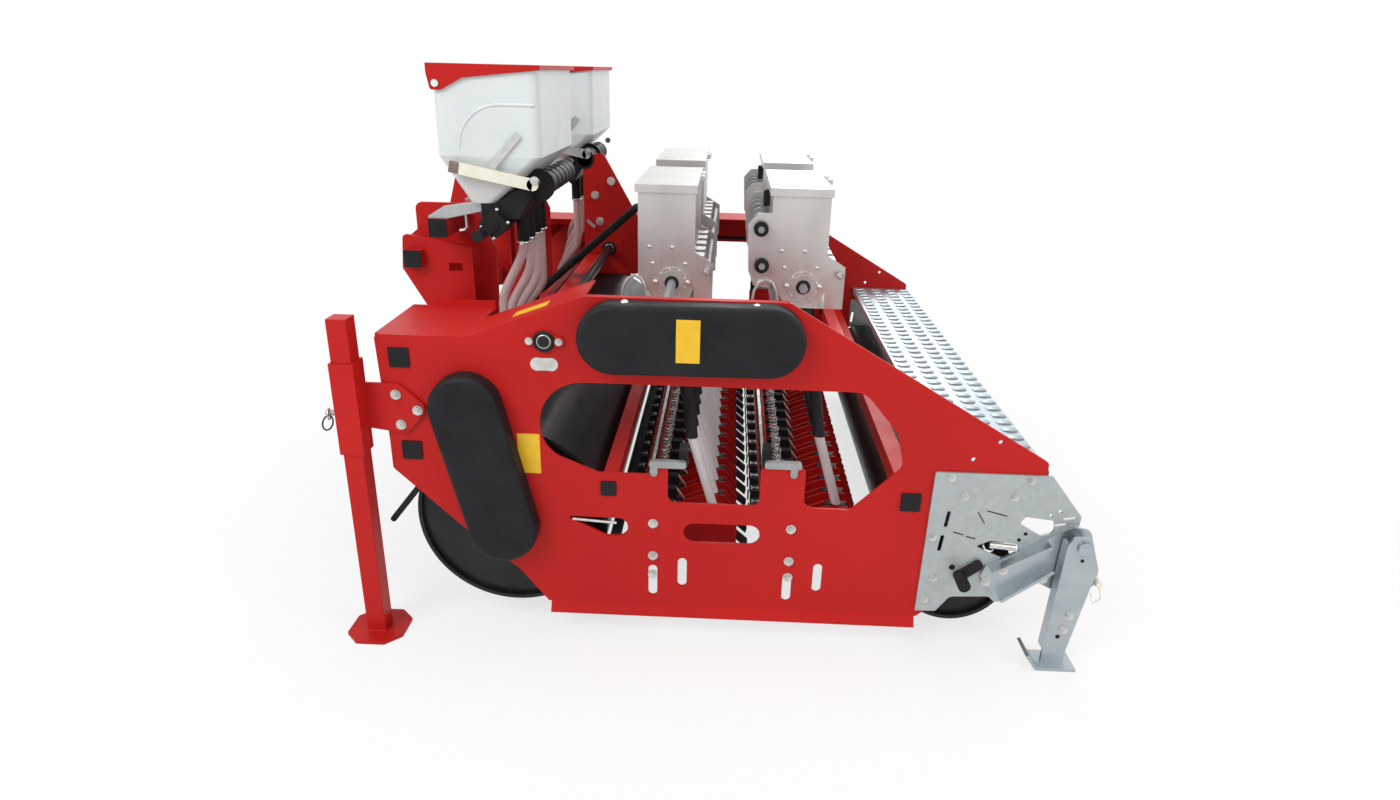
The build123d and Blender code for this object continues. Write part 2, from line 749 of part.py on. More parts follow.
# Metering shafts, stirring rods and the feed shaft with its discs
front_row, rear_row = HOPPER_ROWS
rod_end = HOPPER_OUT + RAIL
dx, dz, radius = STIR_ROD
shafts = [rod_y(xs + dx, HOPPER_BASE + dz, radius, -rod_end, rod_end) for xs in HOPPER_ROWS]
shafts.append(hex_y(front_row, METER_Z, METER_HEX, -INNER, rod_end))
shafts.append(hex_y(rear_row, METER_Z, METER_HEX, -rod_end, rod_end))
for dx, dz in FEED_SHAFTS:
    x = rear_row + dx
    z = HOPPER_BASE + dz
    feed = hex_y(x, z, FEED_HEX, -rod_end, rod_end)
    for i in range(FEED_DISCS):
        y = HOPPER_IN + (i + 0.5) * (HOPPER_OUT - HOPPER_IN) / FEED_DISCS
        disc = rod_y(x, z, FEED_DISC_R, y - FEED_DISC_T / 2, y + FEED_DISC_T / 2)
        feed += disc + right(disc)
    shafts.append(feed)
save("meter_shafts", *shafts)

# Rails that carry the hoppers under their front and rear edges
rails = []
for xs in HOPPER_ROWS:
    for x0 in (xs - BASE_FRONT, xs + BASE_BACK - RAIL):
        rails.append(block(x0, x0 + RAIL, -INNER, INNER, HOPPER_BASE - RAIL, HOPPER_BASE))
save("hopper_rails", *rails)


# Granule hoppers of white plastic, open at the top
def granule_shape(inset):
    """Box above the waist and tapered spout below it."""
    x0 = GRAN_X0 + inset
    x1 = GRAN_X1 - inset
    length = GRAN_OUT - GRAN_IN - 2 * inset
    waist = GRAN_BASE + GRAN_WAIST
    mouth = Pos((x0 + x1) / 2, GRAN_MIDDLE) * RectangleRounded(x1 - x0, length, GRAN_ROUND - inset)
    spout_size = (SPOUT_L - 2 * inset, length - 2 * SPOUT_IN, GRAN_ROUND - inset)
    spout = Pos(SPOUT_X, GRAN_MIDDLE) * RectangleRounded(*spout_size)
    upper = extrude(Pos(0, 0, waist) * mouth, amount=GRAN_RIM - waist)
    return upper + loft([Pos(0, 0, waist) * mouth, Pos(0, 0, GRAN_BASE) * spout], ruled=True)


def granule_hopper():
    """Hopper at the right-hand side, with the lid's pivots."""
    body = granule_shape(0) - granule_shape(GRAN_WALL)
    px, pz = GRAN_PIVOT
    for wall, out in ((GRAN_IN, -1), (GRAN_OUT, 1)):
        root = wall - out * GRAN_WALL / 2
        flange = wall + out * (SLACK + GRAN_LID_T)
        body += rod_y(px, pz, GRAN_PIVOT_R, *sorted((root, flange + out * TOUCH)))
        body += rod_y(px, pz, 1.5 * GRAN_PIVOT_R, *sorted((flange + out * TOUCH, flange + out * SLACK)))
    return body


def granule_lid():
    """Flat lid with two swept cheeks."""
    x0 = GRAN_X0 - GRAN_LID_OVER
    x1 = GRAN_X1 + GRAN_LID_OVER
    z0 = GRAN_RIM + SLACK
    ya = GRAN_IN - SLACK - GRAN_LID_T
    yb = GRAN_OUT + SLACK + GRAN_LID_T
    lid = block(x0, x1, ya, yb, z0, z0 + GRAN_LID_T)
    cheek = rounded([
        (x0, z0, 0),
        (x1, z0, 0),
        (x1, z0 - GRAN_LID_OVER, 0),
        (x0 + 90, z0 - 30, 15),
        (x0 + 34, z0 - 60, 10),
        (x0 + 8, z0 - 60, 8),
        (x0, z0 - 20, 5),
    ])
    cheek -= Pos(*GRAN_PIVOT) * Circle(GRAN_PIVOT_R + RUN)
    lid += prism_xz(cheek, ya, ya + GRAN_LID_T)
    lid += prism_xz(cheek, yb - GRAN_LID_T, yb)
    return lid + block(x1 - GRAN_LID_T, x1, ya, yb, z0 - GRAN_LID_OVER, z0)


# Metering housing below a granule hopper: x, height from the hopper's bottom
METER_POINTS = [
    (METER_FRONT, 0),
    (-618, 0),
    (-575, 30),
    (-545, 40),
    (-530, 10),
    (-560, -40),
    (METER_FRONT, -40),
]


def hose_places():
    """Y of the hoses of the right-hand unit."""
    return [GRAN_MIDDLE + (i - (HOSES - 1) / 2) * HOSE_PITCH for i in range(HOSES)]


def granule_meter():
    """Housing with gear box, brushes and outlets."""
    unit = prism_xz(cornered(METER_POINTS, 0, GRAN_BASE), GRAN_IN + METER_IN, GRAN_OUT - METER_IN)
    x, dz, side, length = GEAR_BOX
    z = GRAN_BASE + dz
    unit += prism_xz(Pos(x, z) * Rot(0, 0, 45) * Rectangle(side, side), GRAN_OUT - length, GRAN_OUT)
    kx = GEAR_KNOB[0]
    kz = GRAN_BASE + GEAR_KNOB[1]
    unit += prism_xz(stadium(x, z, kx, kz, KNOB_R), GRAN_OUT, GRAN_OUT + HOLDER_T)
    unit += rod_y(kx, kz, KNOB_R / 2, GRAN_OUT, GRAN_OUT + KNOB_OUT)
    unit += rod_y(kx, kz, KNOB_R, GRAN_OUT + KNOB_OUT - KNOB_R, GRAN_OUT + KNOB_OUT)
    x, dz, disc_r, hub_r = BRUSH
    for i in range(BRUSHES):
        y = BRUSH_Y + i * (BRUSH_T + BRUSH_GAP)
        unit += rod_y(x, GRAN_BASE + dz, disc_r, y, y + BRUSH_T)
    unit += rod_y(x, GRAN_BASE + dz, hub_r, BRUSH_Y, BRUSH_Y + BRUSHES * (BRUSH_T + BRUSH_GAP))
    for y in hose_places():
        unit += Pos(HOSE_X, y, HOSE_TOP + OUTLET_L / 2) * Cylinder(HOSE_R + OUTLET_WALL, OUTLET_L)
    return unit


def granule_holder():
    """Zinc plates that stand on the upper toolbar and carry the metering housing."""
    top = BAR_HIGH[1] + BAR / 2
    front = BAR_HIGH[0] - BAR / 2
    face = cornered([
        (front, top),
        (front, top + HOLDER_T),
        (front + 45, top + 34),
        (METER_FRONT - 15, GRAN_BASE),
        (METER_FRONT, GRAN_BASE),
        (METER_FRONT, top + 24),
        (front + BAR, top),
    ])
    inner = GRAN_IN + METER_IN + HOLDER_IN
    outer = GRAN_OUT - METER_IN - HOLDER_IN
    return [prism_xz(face, inner, inner + HOLDER_T), prism_xz(face, outer - HOLDER_T, outer)]


def hose(points, radius, bend):
    """Eight-sided hose along a line of points with rounded bends."""
    start = Vector(*points[0])
    lead = Vector(*points[1]) - start
    section = Plane(origin=start, z_dir=lead.normalized()) * RegularPolygon(radius, 8)
    return sweep(section, FilletPolyline(*points, radius=bend))


bar_x, bar_z, bar_side = SPREAD_BAR
bar_top = bar_z + bar_side / 2
hoses = []
for i, y in enumerate(reversed(hose_places())):
    knee_z = HOSE_TOP - HOSE_KNEE - i * HOSE_STEP
    knees = [(HOSE_X, y, knee_z), (bar_x, y, knee_z - HOSE_SLOPE)]
    hoses.append(hose([(HOSE_X, y, HOSE_TOP), *knees, (bar_x, y, bar_top)], HOSE_R, HOSE_BEND))
save("granule_hoses", *both(hoses))
save("granule_brackets", *both(granule_holder()))
save("spreader_bar", square_tube(*SPREAD_BAR, TUBE_WALL, -INNER, INNER))
save("granule_hopper_right", granule_hopper())
save("granule_hopper_left", right(granule_hopper()))
save("granule_lid_right", granule_lid())
save("granule_lid_left", right(granule_lid()))
save("granule_meter_right", granule_meter())
save("granule_meter_left", right(granule_meter()))

# Conduits from the spreader bar to the front of the left seed hopper
conduits = []
top = HOPPER_BASE + CONDUIT_Z
front = front_row - HOPPER_FRONT
for i in range(CONDUITS):
    y = CONDUIT_Y + i * CONDUIT_PITCH
    knees = [(front - 50, y, top), (bar_x, y, bar_top + 35)]
    conduits.append(hose([(front, y, top), *knees, (bar_x, y, bar_top)], CONDUIT_R, CONDUIT_BEND))
save("conduits", *conduits)

# Coulter rows: x from the middle of the bank, z
HOLD = BEAM_X + BEAM / 2
LINK_POINTS = [
    (HOLD, CLAMP_Z[0]),
    (HOLD, SPRING_SEAT),
    (8, SPRING_SEAT),
    (8, 300),
    (44, 300),
    (44, SPRING_SEAT),
    (60, 255),
    (60, CLAMP_Z[0]),
]
ARM_POINTS = [
    (HOLD, BEAM_TOP - BEAM),
    (HOLD, 250),
    (60, 262),
    (120, 288),
    (185, 288),
    (222, 240),
    (222, 150),
    (175, 120),
    (60, 190),
]
BOOT_POINTS = [
    (120, 200),
    (120, BOOT_TOP),
    (180, BOOT_TOP),
    (196, 262),
    (200, 240),
    (200, 90),
    (150, 90),
    (130, 150),
]
TOOTH_POINTS = [(200, 160), (200, 180), (258, 130), (254, 112)]


def bank_rows(number):
    """Y of each row; the two banks are staggered."""
    shift = ROW_STAGGER * (1 if number else -1)
    return [(i - (ROWS - 1) / 2) * ROW_PITCH + shift for i in range(ROWS)]


def tube(start, end, radius):
    """Eight-sided tube with level ends."""
    line = end - start
    section = Pos(*start) * RegularPolygon(radius, 8)
    return extrude(section, amount=line.length, dir=tuple(line.normalized()))


def outlet(xs, i):
    """Lower end of a seed hopper's outlet for row i."""
    half = ROWS // 2
    edge = RUBBER_R + OUTLET_EDGE
    first = HOPPER_IN if i >= half else -HOPPER_OUT
    pitch = (HOPPER_OUT - HOPPER_IN - 2 * edge) / (half - 1)
    step = -OUTLET_STEP if i % 2 else OUTLET_STEP
    return Vector(xs + step, first + edge + (i % half) * pitch, HOPPER_BASE)


beams = []
lift_shafts = []
arms = []
boots = []
teeth = []
clamps = []
springs = []
rubber_tubes = []
plastic_tubes = []
for number, (xb, xs) in enumerate(zip(BANKS, HOPPER_ROWS)):
    x0 = xb + BEAM_X - BEAM / 2
    beams.append(block(x0, x0 + BEAM, -INNER, INNER, BEAM_TOP - BEAM, BEAM_TOP))
    lift_shafts.append(hex_y(xb + BEAM_X, BEAM_TOP + HEX / 2, HEX, -INNER, INNER))
    link = cornered(LINK_POINTS, xb)
    arm = cornered(ARM_POINTS, xb)
    boot = cornered(BOOT_POINTS, xb)
    tooth = cornered(TOOTH_POINTS, xb)
    for i, y in enumerate(bank_rows(number)):
        ya = y - BOOT_T / 2
        yb = y + BOOT_T / 2
        arms.append(prism_xz(arm, ya - ARM_T, ya))
        arms.append(prism_xz(arm, yb, yb + ARM_T))
        boots.append(prism_xz(boot, ya, yb))
        teeth.append(prism_xz(tooth, ya, yb))
        clamps.append(prism_xz(link, ya, yb))
        clamps.append(block(x0 - CLAMP_L, x0, y - CLAMP_W / 2, y + CLAMP_W / 2, *CLAMP_Z))
        seat = Pos(xb + SPRING_X, y, SPRING_SEAT)
        springs.append(extrude(seat * RegularPolygon(SPRING_R, 8), amount=SPRING_TOP - SPRING_SEAT))
        joint = Vector(xb + JOINT_X, y, JOINT_Z)
        plastic_tubes.append(tube(Vector(xb + TUBE_X, y, BOOT_TOP), joint, TUBE_R))
        rubber_tubes.append(tube(joint, outlet(xs, i), RUBBER_R))
save("coulter_beams", *beams)
save("lift_shafts", *lift_shafts)
save("coulter_arms", *arms)
save("coulter_boots", *boots)
save("coulter_teeth", *teeth)
save("coulter_clamps", *clamps)
save("coulter_springs", *springs)
save("seed_tubes_upper", *rubber_tubes)
save("seed_tubes_lower", *plastic_tubes)

# Hand levers on the side plates, their black blocks, cranks and stand pins
levers = []
blocks = []
length, depth, height = LEVER_BLOCK
lever_in = -HALF - LEVER_LUG + LEVER_T
for x0, z0, x1, z1, lug_x, lug_z, block_x in LEVERS:
    lever = prism_xz(stadium(x0, z0, x1, z1, LEVER_R), -HALF - LEVER_LUG, lever_in)
    lever += prism_xz(stadium(lug_x, lug_z, lug_x, z0, LEVER_R), -HALF - LEVER_LUG, -HALF)
    levers.append(lever)
    low = z1 - 1.5 * LEVER_R
    blocks.append(block(block_x, block_x + length, lever_in, lever_in + depth, low, low + height))
pin = Pos(STAND_X - (SLEEVE + PIN_OUT) / 2, STAND_Y, PIN_Z) * Rot(0, 90, 0) * Cylinder(PIN_R, PIN_OUT)
save("control_levers", *both([*levers, pin]))
knob_x, knob_z, slot_x, slot_z = CRANK
crank = prism_xz(stadium(*CRANK, CRANK_R), -REAR_WALL - CRANK_T, -REAR_WALL)
crank += rod_y(knob_x, knob_z, CRANK_KNOB_R, -REAR_WALL - CRANK_OUT, -REAR_WALL)
front_lever = prism_xz(stadium(*FRONT_LEVER, FRONT_LEVER_R), -INNER, -INNER + CRANK_T)
save("handles", *handles, *both([*blocks, crank, front_lever]))


# Front stands: a square leg that slides in a sleeve bolted to the side plate
def leg_tube(half, z0, z1):
    """Square column about the stand's axis."""
    return block(STAND_X - half, STAND_X + half, STAND_Y - half, STAND_Y + half, z0, z1)


def stand_leg():
    """Leg with foot plate and end cap."""
    flat = FOOT_W / 2
    corner = FOOT_W / 4
    rows = [(-flat, -corner), (-corner, -flat), (corner, -flat), (flat, -corner)]
    rows += [(-u, -v) for u, v in rows]
    leg = extrude(cornered(rows, STAND_X, STAND_Y), amount=FOOT_T)
    leg += leg_tube(LEG / 2, FOOT_T, LEG_TOP) - leg_tube(LEG / 2 - LEG_WALL, FOOT_T, LEG_TOP)
    return leg + leg_tube(LEG / 2, LEG_TOP, LEG_TOP + CAP_T)


def stand_sleeve():
    """Sleeve with its bolting plate."""
    bore = LEG / 2 + SLEEVE_FIT
    sleeve = leg_tube(SLEEVE / 2, SLEEVE_Z0, SLEEVE_Z1) - leg_tube(bore, SLEEVE_Z0, SLEEVE_Z1)
    side = STAND_X + SLEEVE / 2
    rows = [
        (side, 706, 0),
        (-800, 706, 15),
        (-738, 652, 15),
        (-742, 628, 10),
        (-790, 574, 15),
        (side, 586, 0),
    ]
    return sleeve + prism_xz(rounded(rows), -HALF - STAND_T, -HALF)


save("stand_leg_left", stand_leg())
save("stand_leg_right", right(stand_leg()))
save("stand_sleeves", *both([stand_sleeve()]))

# Rear folding feet on arms bolted to the galvanised plates: x, z, corner radius
FOOT_ARM_ROWS = [
    (686, 230, 8),
    (696, 262, 10),
    (845, 352, 20),
    (900, 385, 20),
    (945, 378, 20),
    (985, 265, 12),
    (985, 215, 12),
    (892, 192, 15),
    (830, 222, 10),
    (735, 164, 8),
]
LOWER_RIB = [(741, 172), (862, 268), (857, 275), (736, 179)]
UPPER_RIB = [(704, 262), (842, 345), (846, 338), (708, 255)]


def foot_arm():
    """Channel-shaped arm with the foot's pivot pin."""
    arm = prism_xz(rounded(FOOT_ARM_ROWS), -REAR_WALL - FOOT_ARM_T, -REAR_WALL)
    for rib in (LOWER_RIB, UPPER_RIB):
        arm += prism_xz(cornered(rib), -REAR_WALL - FOOT_RIB, -REAR_WALL)
    pin_end = -REAR_WALL - PIVOT_OUT
    arm += rod_y(*FOOT_PIVOT, PIVOT_R, pin_end, -REAR_WALL)
    return arm + rod_y(*FOOT_PIVOT, 1.7 * PIVOT_R, pin_end - PIVOT_HEAD, pin_end)


def folding_foot():
    """Folded leg with a curled sole."""
    px, pz = FOOT_PIVOT
    back = FOOT_X + FOOT_HALF
    front = FOOT_X - FOOT_HALF
    rows = [
        (px - 42, pz + 6, 0),
        (px - 28, pz + 29, 12),
        (px + 14, pz + 29, 18),
        (px + 44, pz - 60, 20),
        (back, ANKLE_Z, 0),
        (back, SOLE_T, 0),
        (front, SOLE_T, 0),
        (front, ANKLE_Z, 0),
    ]
    web = rounded(rows) - Pos(px, pz) * Circle(PIVOT_R + RUN)
    web_y = -REAR_WALL - PIVOT_OUT + TOUCH
    foot = prism_xz(web, web_y, web_y + FOOT_WEB)
    front_rib = [(px - 42, pz + 6), (front, ANKLE_Z), (front + RIB_T, ANKLE_Z), (px - 42 + RIB_T, pz + 6)]
    back_rib = [(px + 42, pz - 70), (back, ANKLE_Z), (back - RIB_T, ANKLE_Z), (px + 42 - RIB_T, pz - 70)]
    for rib in (front_rib, back_rib):
        foot += prism_xz(cornered(rib), web_y, -REAR_WALL - FOOT_ARM_T - SLACK - 1)
    sole = rounded([
        (SKID_X0 + 30, 0, 12),
        (SKID_X1, 0, 0),
        (SKID_X1, SOLE_T, 0),
        (SKID_X0 + 33, SOLE_T, 8),
        (SKID_X0 + 8, 46, 0),
        (SKID_X0, 42, 0),
    ])
    middle = web_y + FOOT_WEB / 2
    return foot + prism_xz(sole, middle - SKID_W / 2, middle + SKID_W / 2)


save("foot_arms", *both([foot_arm()]))
save("folding_foot_left", folding_foot())
save("folding_foot_right", right(folding_foot()))
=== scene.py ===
import json
import math

import bmesh
import bpy
from mathutils import Matrix, Vector


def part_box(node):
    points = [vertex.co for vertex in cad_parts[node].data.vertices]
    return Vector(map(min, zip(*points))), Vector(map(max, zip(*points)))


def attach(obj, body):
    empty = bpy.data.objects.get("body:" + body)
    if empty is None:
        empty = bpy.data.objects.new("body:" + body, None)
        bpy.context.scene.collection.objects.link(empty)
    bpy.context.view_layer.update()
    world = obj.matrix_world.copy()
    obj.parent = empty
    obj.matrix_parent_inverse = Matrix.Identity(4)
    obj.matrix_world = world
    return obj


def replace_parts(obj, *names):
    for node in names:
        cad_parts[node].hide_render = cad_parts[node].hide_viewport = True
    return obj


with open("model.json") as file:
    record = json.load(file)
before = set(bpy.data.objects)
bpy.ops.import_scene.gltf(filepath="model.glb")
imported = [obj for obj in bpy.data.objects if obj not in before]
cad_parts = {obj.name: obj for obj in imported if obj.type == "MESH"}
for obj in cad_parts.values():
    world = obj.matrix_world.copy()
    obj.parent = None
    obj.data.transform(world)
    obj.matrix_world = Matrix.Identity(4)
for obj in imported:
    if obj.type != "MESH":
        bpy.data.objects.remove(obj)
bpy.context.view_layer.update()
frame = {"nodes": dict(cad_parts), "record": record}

# Mechanical seed drill: finishes and small pieces on the CAD model, then floor, light and camera.
# The machine travels towards -X and its left-hand side is -Y.

# Camera as in the photograph, in metres
CAMERA_AT = Vector((0.0, -2.890, 1.445))
CAMERA_RIGHT = Vector((0.99897, 0.03836, 0.02421))
CAMERA_DOWN = Vector((0.03646, -0.36165, -0.93160))
CAMERA_FORWARD = Vector((-0.02698, 0.93153, -0.36268))
SENSOR = 36.0
FOCAL_SHARE = 850 / 1400        # focal length as a share of the picture's width

# Floor and edges, in metres and degrees
FLOOR_SIZE = 60
FADE_REACH = (1.2, 2.6)         # from the middle of the machine
FADE_WHITE = (0.72, 1.0)        # share of plain white over that reach
WELD_GAP = 0.00005
TUBE_SPLIT = 50
BEVEL_TURN = 40
SHARP_TURN = 38
NOISE_RANGE = (0.3, 0.7)        # where most values of a noise lie


def corners(name):
    """Lowest and highest corner of a CAD node, in millimetres to a tenth."""
    return [Vector([round(1000 * v, 1) for v in corner]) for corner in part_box(name)]


# Faces that small pieces stand on, in millimetres
NEAR = (0, -1, 0)
UP = (0, 0, 1)
STAND_T = 8
ARM_T = 8
FOOT_DEPTH = 43                 # from the inner edge of a foot's sole to its outer wall
RING_OUT = 6                    # bearing rings stand out of the seed hoppers' ends
PIVOT_OUT = 13                  # lid pivots stand out of the granule hoppers' ends
GUARD_FACE = corners("chain_guard_top")[0].y
PLATE_Y = corners("chain_guard_top")[1].y           # outer face of the left side plate
BEARING_FACE = corners("drive_bearings")[0].y
DRIVE_FACE = corners("drive_plate")[0].y
DRIVE = sum(corners("drive_shaft"), Vector()) / 2
REAR_Y = corners("rear_plate_left")[0].y
STAND_FACE = PLATE_Y - STAND_T
ARM_FACE = REAR_Y - ARM_T
FOOT_FACE = corners("folding_foot_left")[1].y - FOOT_DEPTH
HOPPER_END = corners("seed_hopper_front_left")[0].y + RING_OUT
GRAN_END = corners("granule_hopper_left")[0].y + PIVOT_OUT
GRAN_INNER = corners("granule_hopper_right")[0].y + PIVOT_OUT
STEP_TOP = corners("step_board")[1].z

# Bolts on both sides: face, width across flats, x and z of each
SIDE_BOLTS = (
    (PLATE_Y, 18, ((-170, 341), (-170, 245), (-170, 187), (188, 340), (188, 244), (188, 195))),
    (STAND_FACE, 18, ((-808, 678), (-757, 638), (-802, 598))),
    (REAR_Y, 15, ((579, 508), (778, 508), (619, 457), (744, 461), (552, 337), (569, 216), (552, 149))),
    (ARM_FACE, 18, ((703, 217), (742, 252), (783, 290))),
    (ARM_FACE, 22, ((845, 235),)),
)
EAR_SPAN = 36                   # drive bearing's middle to its bolts
GUARD_KNOBS = ((-238, -968, 933), (71, -968, 933))
DRIVE_BOLTS = ((-483, 1017), (-425, 1067), (-467, 925))
DRIVE_STOP = ((-512, 930), (-482, 905))
SLOT_PIN = ((-379, 347), (-265, 340))
# Thin black band along the top edge of the far side plate's window, by its limits in x, y and z
FAR_WINDOW_BAND = (-400, 330, 937, 942, 736, 748)

# Folding feet and rear plates
FOOT_BOLTS = ((916, 150), (908, 108))
FOOT_HOLES = ((897, 84, 6), (919, 314, 5))              # x, z, radius
MARK_T = 0.6                    # thickness of the dark discs that paint the shade in small holes
STOP_PIN = (978, ARM_FACE + 2, 240)
STOP_CLIP = ((978, -1002, 236), (986, -1004, 205), (968, -1004, 188), (960, -1000, 215))
REAR_CUTS = ((603, 354, 629, 347), (637, 343, 661, 337), (680, 419, 732, 406))      # x and z of both ends
REAR_HOLES = ((613, 250, 8, 20), (772, 339, 5, 18), (786, 357, 5, 18))              # x, z, radius, sides
LATCH_SPRING = ((700, -951, 318), (768, -951, 313))
LATCH_HOOK = ((684, -952, 319), (690, -954, 306), (704, -954, 300), (712, -952, 305))

# Blank stickers, by their limits in x and z, and the blank oval plate
FILM_T = 0.5
GUARD_STICKER = (-114, -58, 802, 907)
PLATE_STICKER = (-514, -457, 473, 582)
POD_STICKER = ((-521, -878, 870), (-436, -878, 902))    # middle of both ends
OVAL_XS = (-454, -420)
OVAL_Z = 768
OVAL_R = 17

# Seed hoppers, x from the metering shaft of each row
LID_FRONT = 103                 # front edge of a lid to the shaft
HOPPER_XS = [corners(f"seed_lid_{row}_left")[0].x + LID_FRONT for row in ("front", "rear")]
HOPPER_SCREWS = ((-64, 985), (0, 985), (-54, 939), (36, 940))
FLANGE_Z = 887
FLANGE_SCREWS = 9
FLANGE_SCREW_R = 39
FLANGE_BAR = 52                 # half the length
FLANGE_NUT = 45                 # from the shaft
ROD_CAP = (98, 924)
HOPPER_LOOP = ((-139, 848), (-136, 872), (-122, 897), (-104, 906), (-86, 896), (-74, 872), (-71, 848))
FEED_AXES = ((93, 945), (87, 1045))
FEED_COLLARS = (-562, -500, -300, -140)

# Left top sheet
SHEET_LOW, SHEET_HIGH = corners("top_sheet_left")
SHEET_T = 6
POD_END = -625
POD_TOP = 830
LIP_START = -790
LIP_UP = 18
RISE_END = -335
RISE_IN = 166                   # width of the rising sheet
RIM_IN = 14

# Granule units
HOSE_LOW, HOSE_HIGH = corners("granule_hoses")
HOSE_SOLID_R = 15
HOSE_R = 13
HOSE_STEPS = 28
HOSE_BENDS = ((830, 712), (870, 722), (920, 750), (985, 800))       # z where each bend starts and ends
HOSE_YS = (314, 388, 462, 536)
HOSE_X = HOSE_HIGH.x - HOSE_SOLID_R
HOSE_SHIFT = HOSE_HIGH.x - HOSE_LOW.x - 2 * HOSE_SOLID_R
CLAMP_Z = 984
CONDUIT_YS = (-180, -158, -136)
CONDUIT_TOP = ((-250, 1036), (-275, 1035))
CONDUIT_RUN = (-300, 1028)      # start of the straight run
CONDUIT_STEP = (-30, -26.2)
CONDUIT_FOOT = ((-628, 746), (-638, 728), (-640, 705))
LEVER_OUT = 16                  # dose levers from the hoppers' ends
LEVER_PIVOT = (-509, 1157)
LEVER_HAND = (-700, 1194)
LEVER_TIP = ((-722, 1198), (-698, 1193))
STRUT = ((-614, 1198), (-542, 1279))
SHUTTER_NUT = (-503, 1168)
SHUTTER_HUB = (-503, 1162)
END_DISC = (-518, 1142)
BRUSH_XZ = (-518, 1140)
BRUSH_YS = (188, 244)
BRUSH_T = 46
BRUSH_HUB_L = 112
METER_SCREWS = ((-610, 1089), (-583, 1056), (-623, 1013), (-654, 1042))
# Bright steel strips along the tops of the metering discs: painted highlights
DISC_GLINT_YS = (323, 379, 435, 491)
DISC_GLINT = ((-520, 1175), (-496, 1167))
HOOK = ((-722, -560, 1075), (-722, -560, 1024), (-729, -560, 1016), (-742, -560, 1014))
ARCH_MIDDLE = (-588, 1242)
ARCH_SPAN = 110
ARCH_RISE = 108
ARCH_STEPS = 12
ARCH_END = -500

# Coulter banks, x from the middle of each bank
BANK_XS = (-170, 183)
BANK_SHIFT = (-21, 21)
ROWS = 18
PITCH = 85
SPRING_X = -6
SPRING_SEAT = corners("coulter_springs")[0].z
SPRING_H = corners("coulter_springs")[1].z - SPRING_SEAT
LINK = ((40, 298), (77, 244))
CLIP_XS = (-90, -68)
CLIP_ZS = (285, 287)
CLIP_RAIL = 4
CLIP_HALF = 8
CLIP_WEB = 1.5                  # half the width
LADDER_RING = (-98, 262)

# Step board and stand pins
GRIP_XS = (603, 670, 736, 797)
GRIP_ROWS = 35
GRIP_PITCH = 53
GRIP_LIP = ((-20, -10, 1), (-11, -13, 2.5), (0, -14, 3))    # half of a mouth, from its ridge's middle
PIN_RING = (-972, 979.5, 628)
PIN_LOOP = (-976, 983.5, 606)


# Materials

def node(owner, kind, **settings):
    """New node in the tree of a material or world."""
    made = owner.node_tree.nodes.new(kind)
    for key, value in settings.items():
        setattr(made, key, value)
    return made


def link(owner, start, end):
    owner.node_tree.links.new(start, end)


def principled(mat):
    return mat.node_tree.nodes["Principled BSDF"]


def material(name, colour, rough, metal=0.0, **sockets):
    """Principled material with its constants set on the shader."""
    mat = bpy.data.materials.new(name)
    mat.use_nodes = True
    shader = principled(mat)
    shader.inputs["Base Color"].default_value = (*colour, 1)
    shader.inputs["Roughness"].default_value = rough
    shader.inputs["Metallic"].default_value = metal
    for key, value in sockets.items():
        shader.inputs[key.replace("_", " ")].default_value = value
    mat.diffuse_color = (*colour, 1)
    return mat


def coordinates(mat, stretch=(1, 1, 1)):
    """Object coordinates in metres, stretched along the axes."""
    place = node(mat, "ShaderNodeTexCoord")
    scale = node(mat, "ShaderNodeMapping")
    scale.inputs["Scale"].default_value = stretch
    link(mat, place.outputs["Object"], scale.inputs["Vector"])
    return scale.outputs["Vector"]


def noise(mat, scale, detail, stretch=(1, 1, 1)):
    """Cloudy factor, with its scale per metre."""
    texture = node(mat, "ShaderNodeTexNoise")
    texture.inputs["Scale"].default_value = scale
    texture.inputs["Detail"].default_value = detail
    link(mat, coordinates(mat, stretch), texture.inputs["Vector"])
    return texture.outputs["Fac"]


def spangle(mat, scale):
    """Crystal pattern of a zinc coat."""
    texture = node(mat, "ShaderNodeTexVoronoi")
    texture.inputs["Scale"].default_value = scale
    link(mat, coordinates(mat), texture.inputs["Vector"])
    return texture.outputs["Color"]


def spread(mat, factor, source, target):
    """Map a factor from one range to another."""
    ramp = node(mat, "ShaderNodeMapRange")
    ramp.inputs["From Min"].default_value = source[0]
    ramp.inputs["From Max"].default_value = source[1]
    ramp.inputs["To Min"].default_value = target[0]
    ramp.inputs["To Max"].default_value = target[1]
    link(mat, factor, ramp.inputs["Value"])
    return ramp.outputs["Result"]


def tint(mat, factor, dark, light):
    """Base colour that wanders between two colours."""
    ramp = node(mat, "ShaderNodeValToRGB")
    for stop, place, colour in zip(ramp.color_ramp.elements, NOISE_RANGE, (dark, light)):
        stop.position = place
        stop.color = (*colour, 1)
    link(mat, factor, ramp.inputs["Fac"])
    link(mat, ramp.outputs["Color"], principled(mat).inputs["Base Color"])


def shine(mat, factor, low, high):
    """Roughness that wanders between two values."""
    link(mat, spread(mat, factor, NOISE_RANGE, (low, high)), principled(mat).inputs["Roughness"])


def relief(mat, factor, strength, distance):
    """Fine bumps, with their height in metres."""
    bump = node(mat, "ShaderNodeBump")
    bump.inputs["Strength"].default_value = strength
    bump.inputs["Distance"].default_value = distance
    link(mat, factor, bump.inputs["Height"])
    link(mat, bump.outputs["Normal"], principled(mat).inputs["Normal"])


def shade(colour, factor):
    return tuple(c * factor for c in colour)


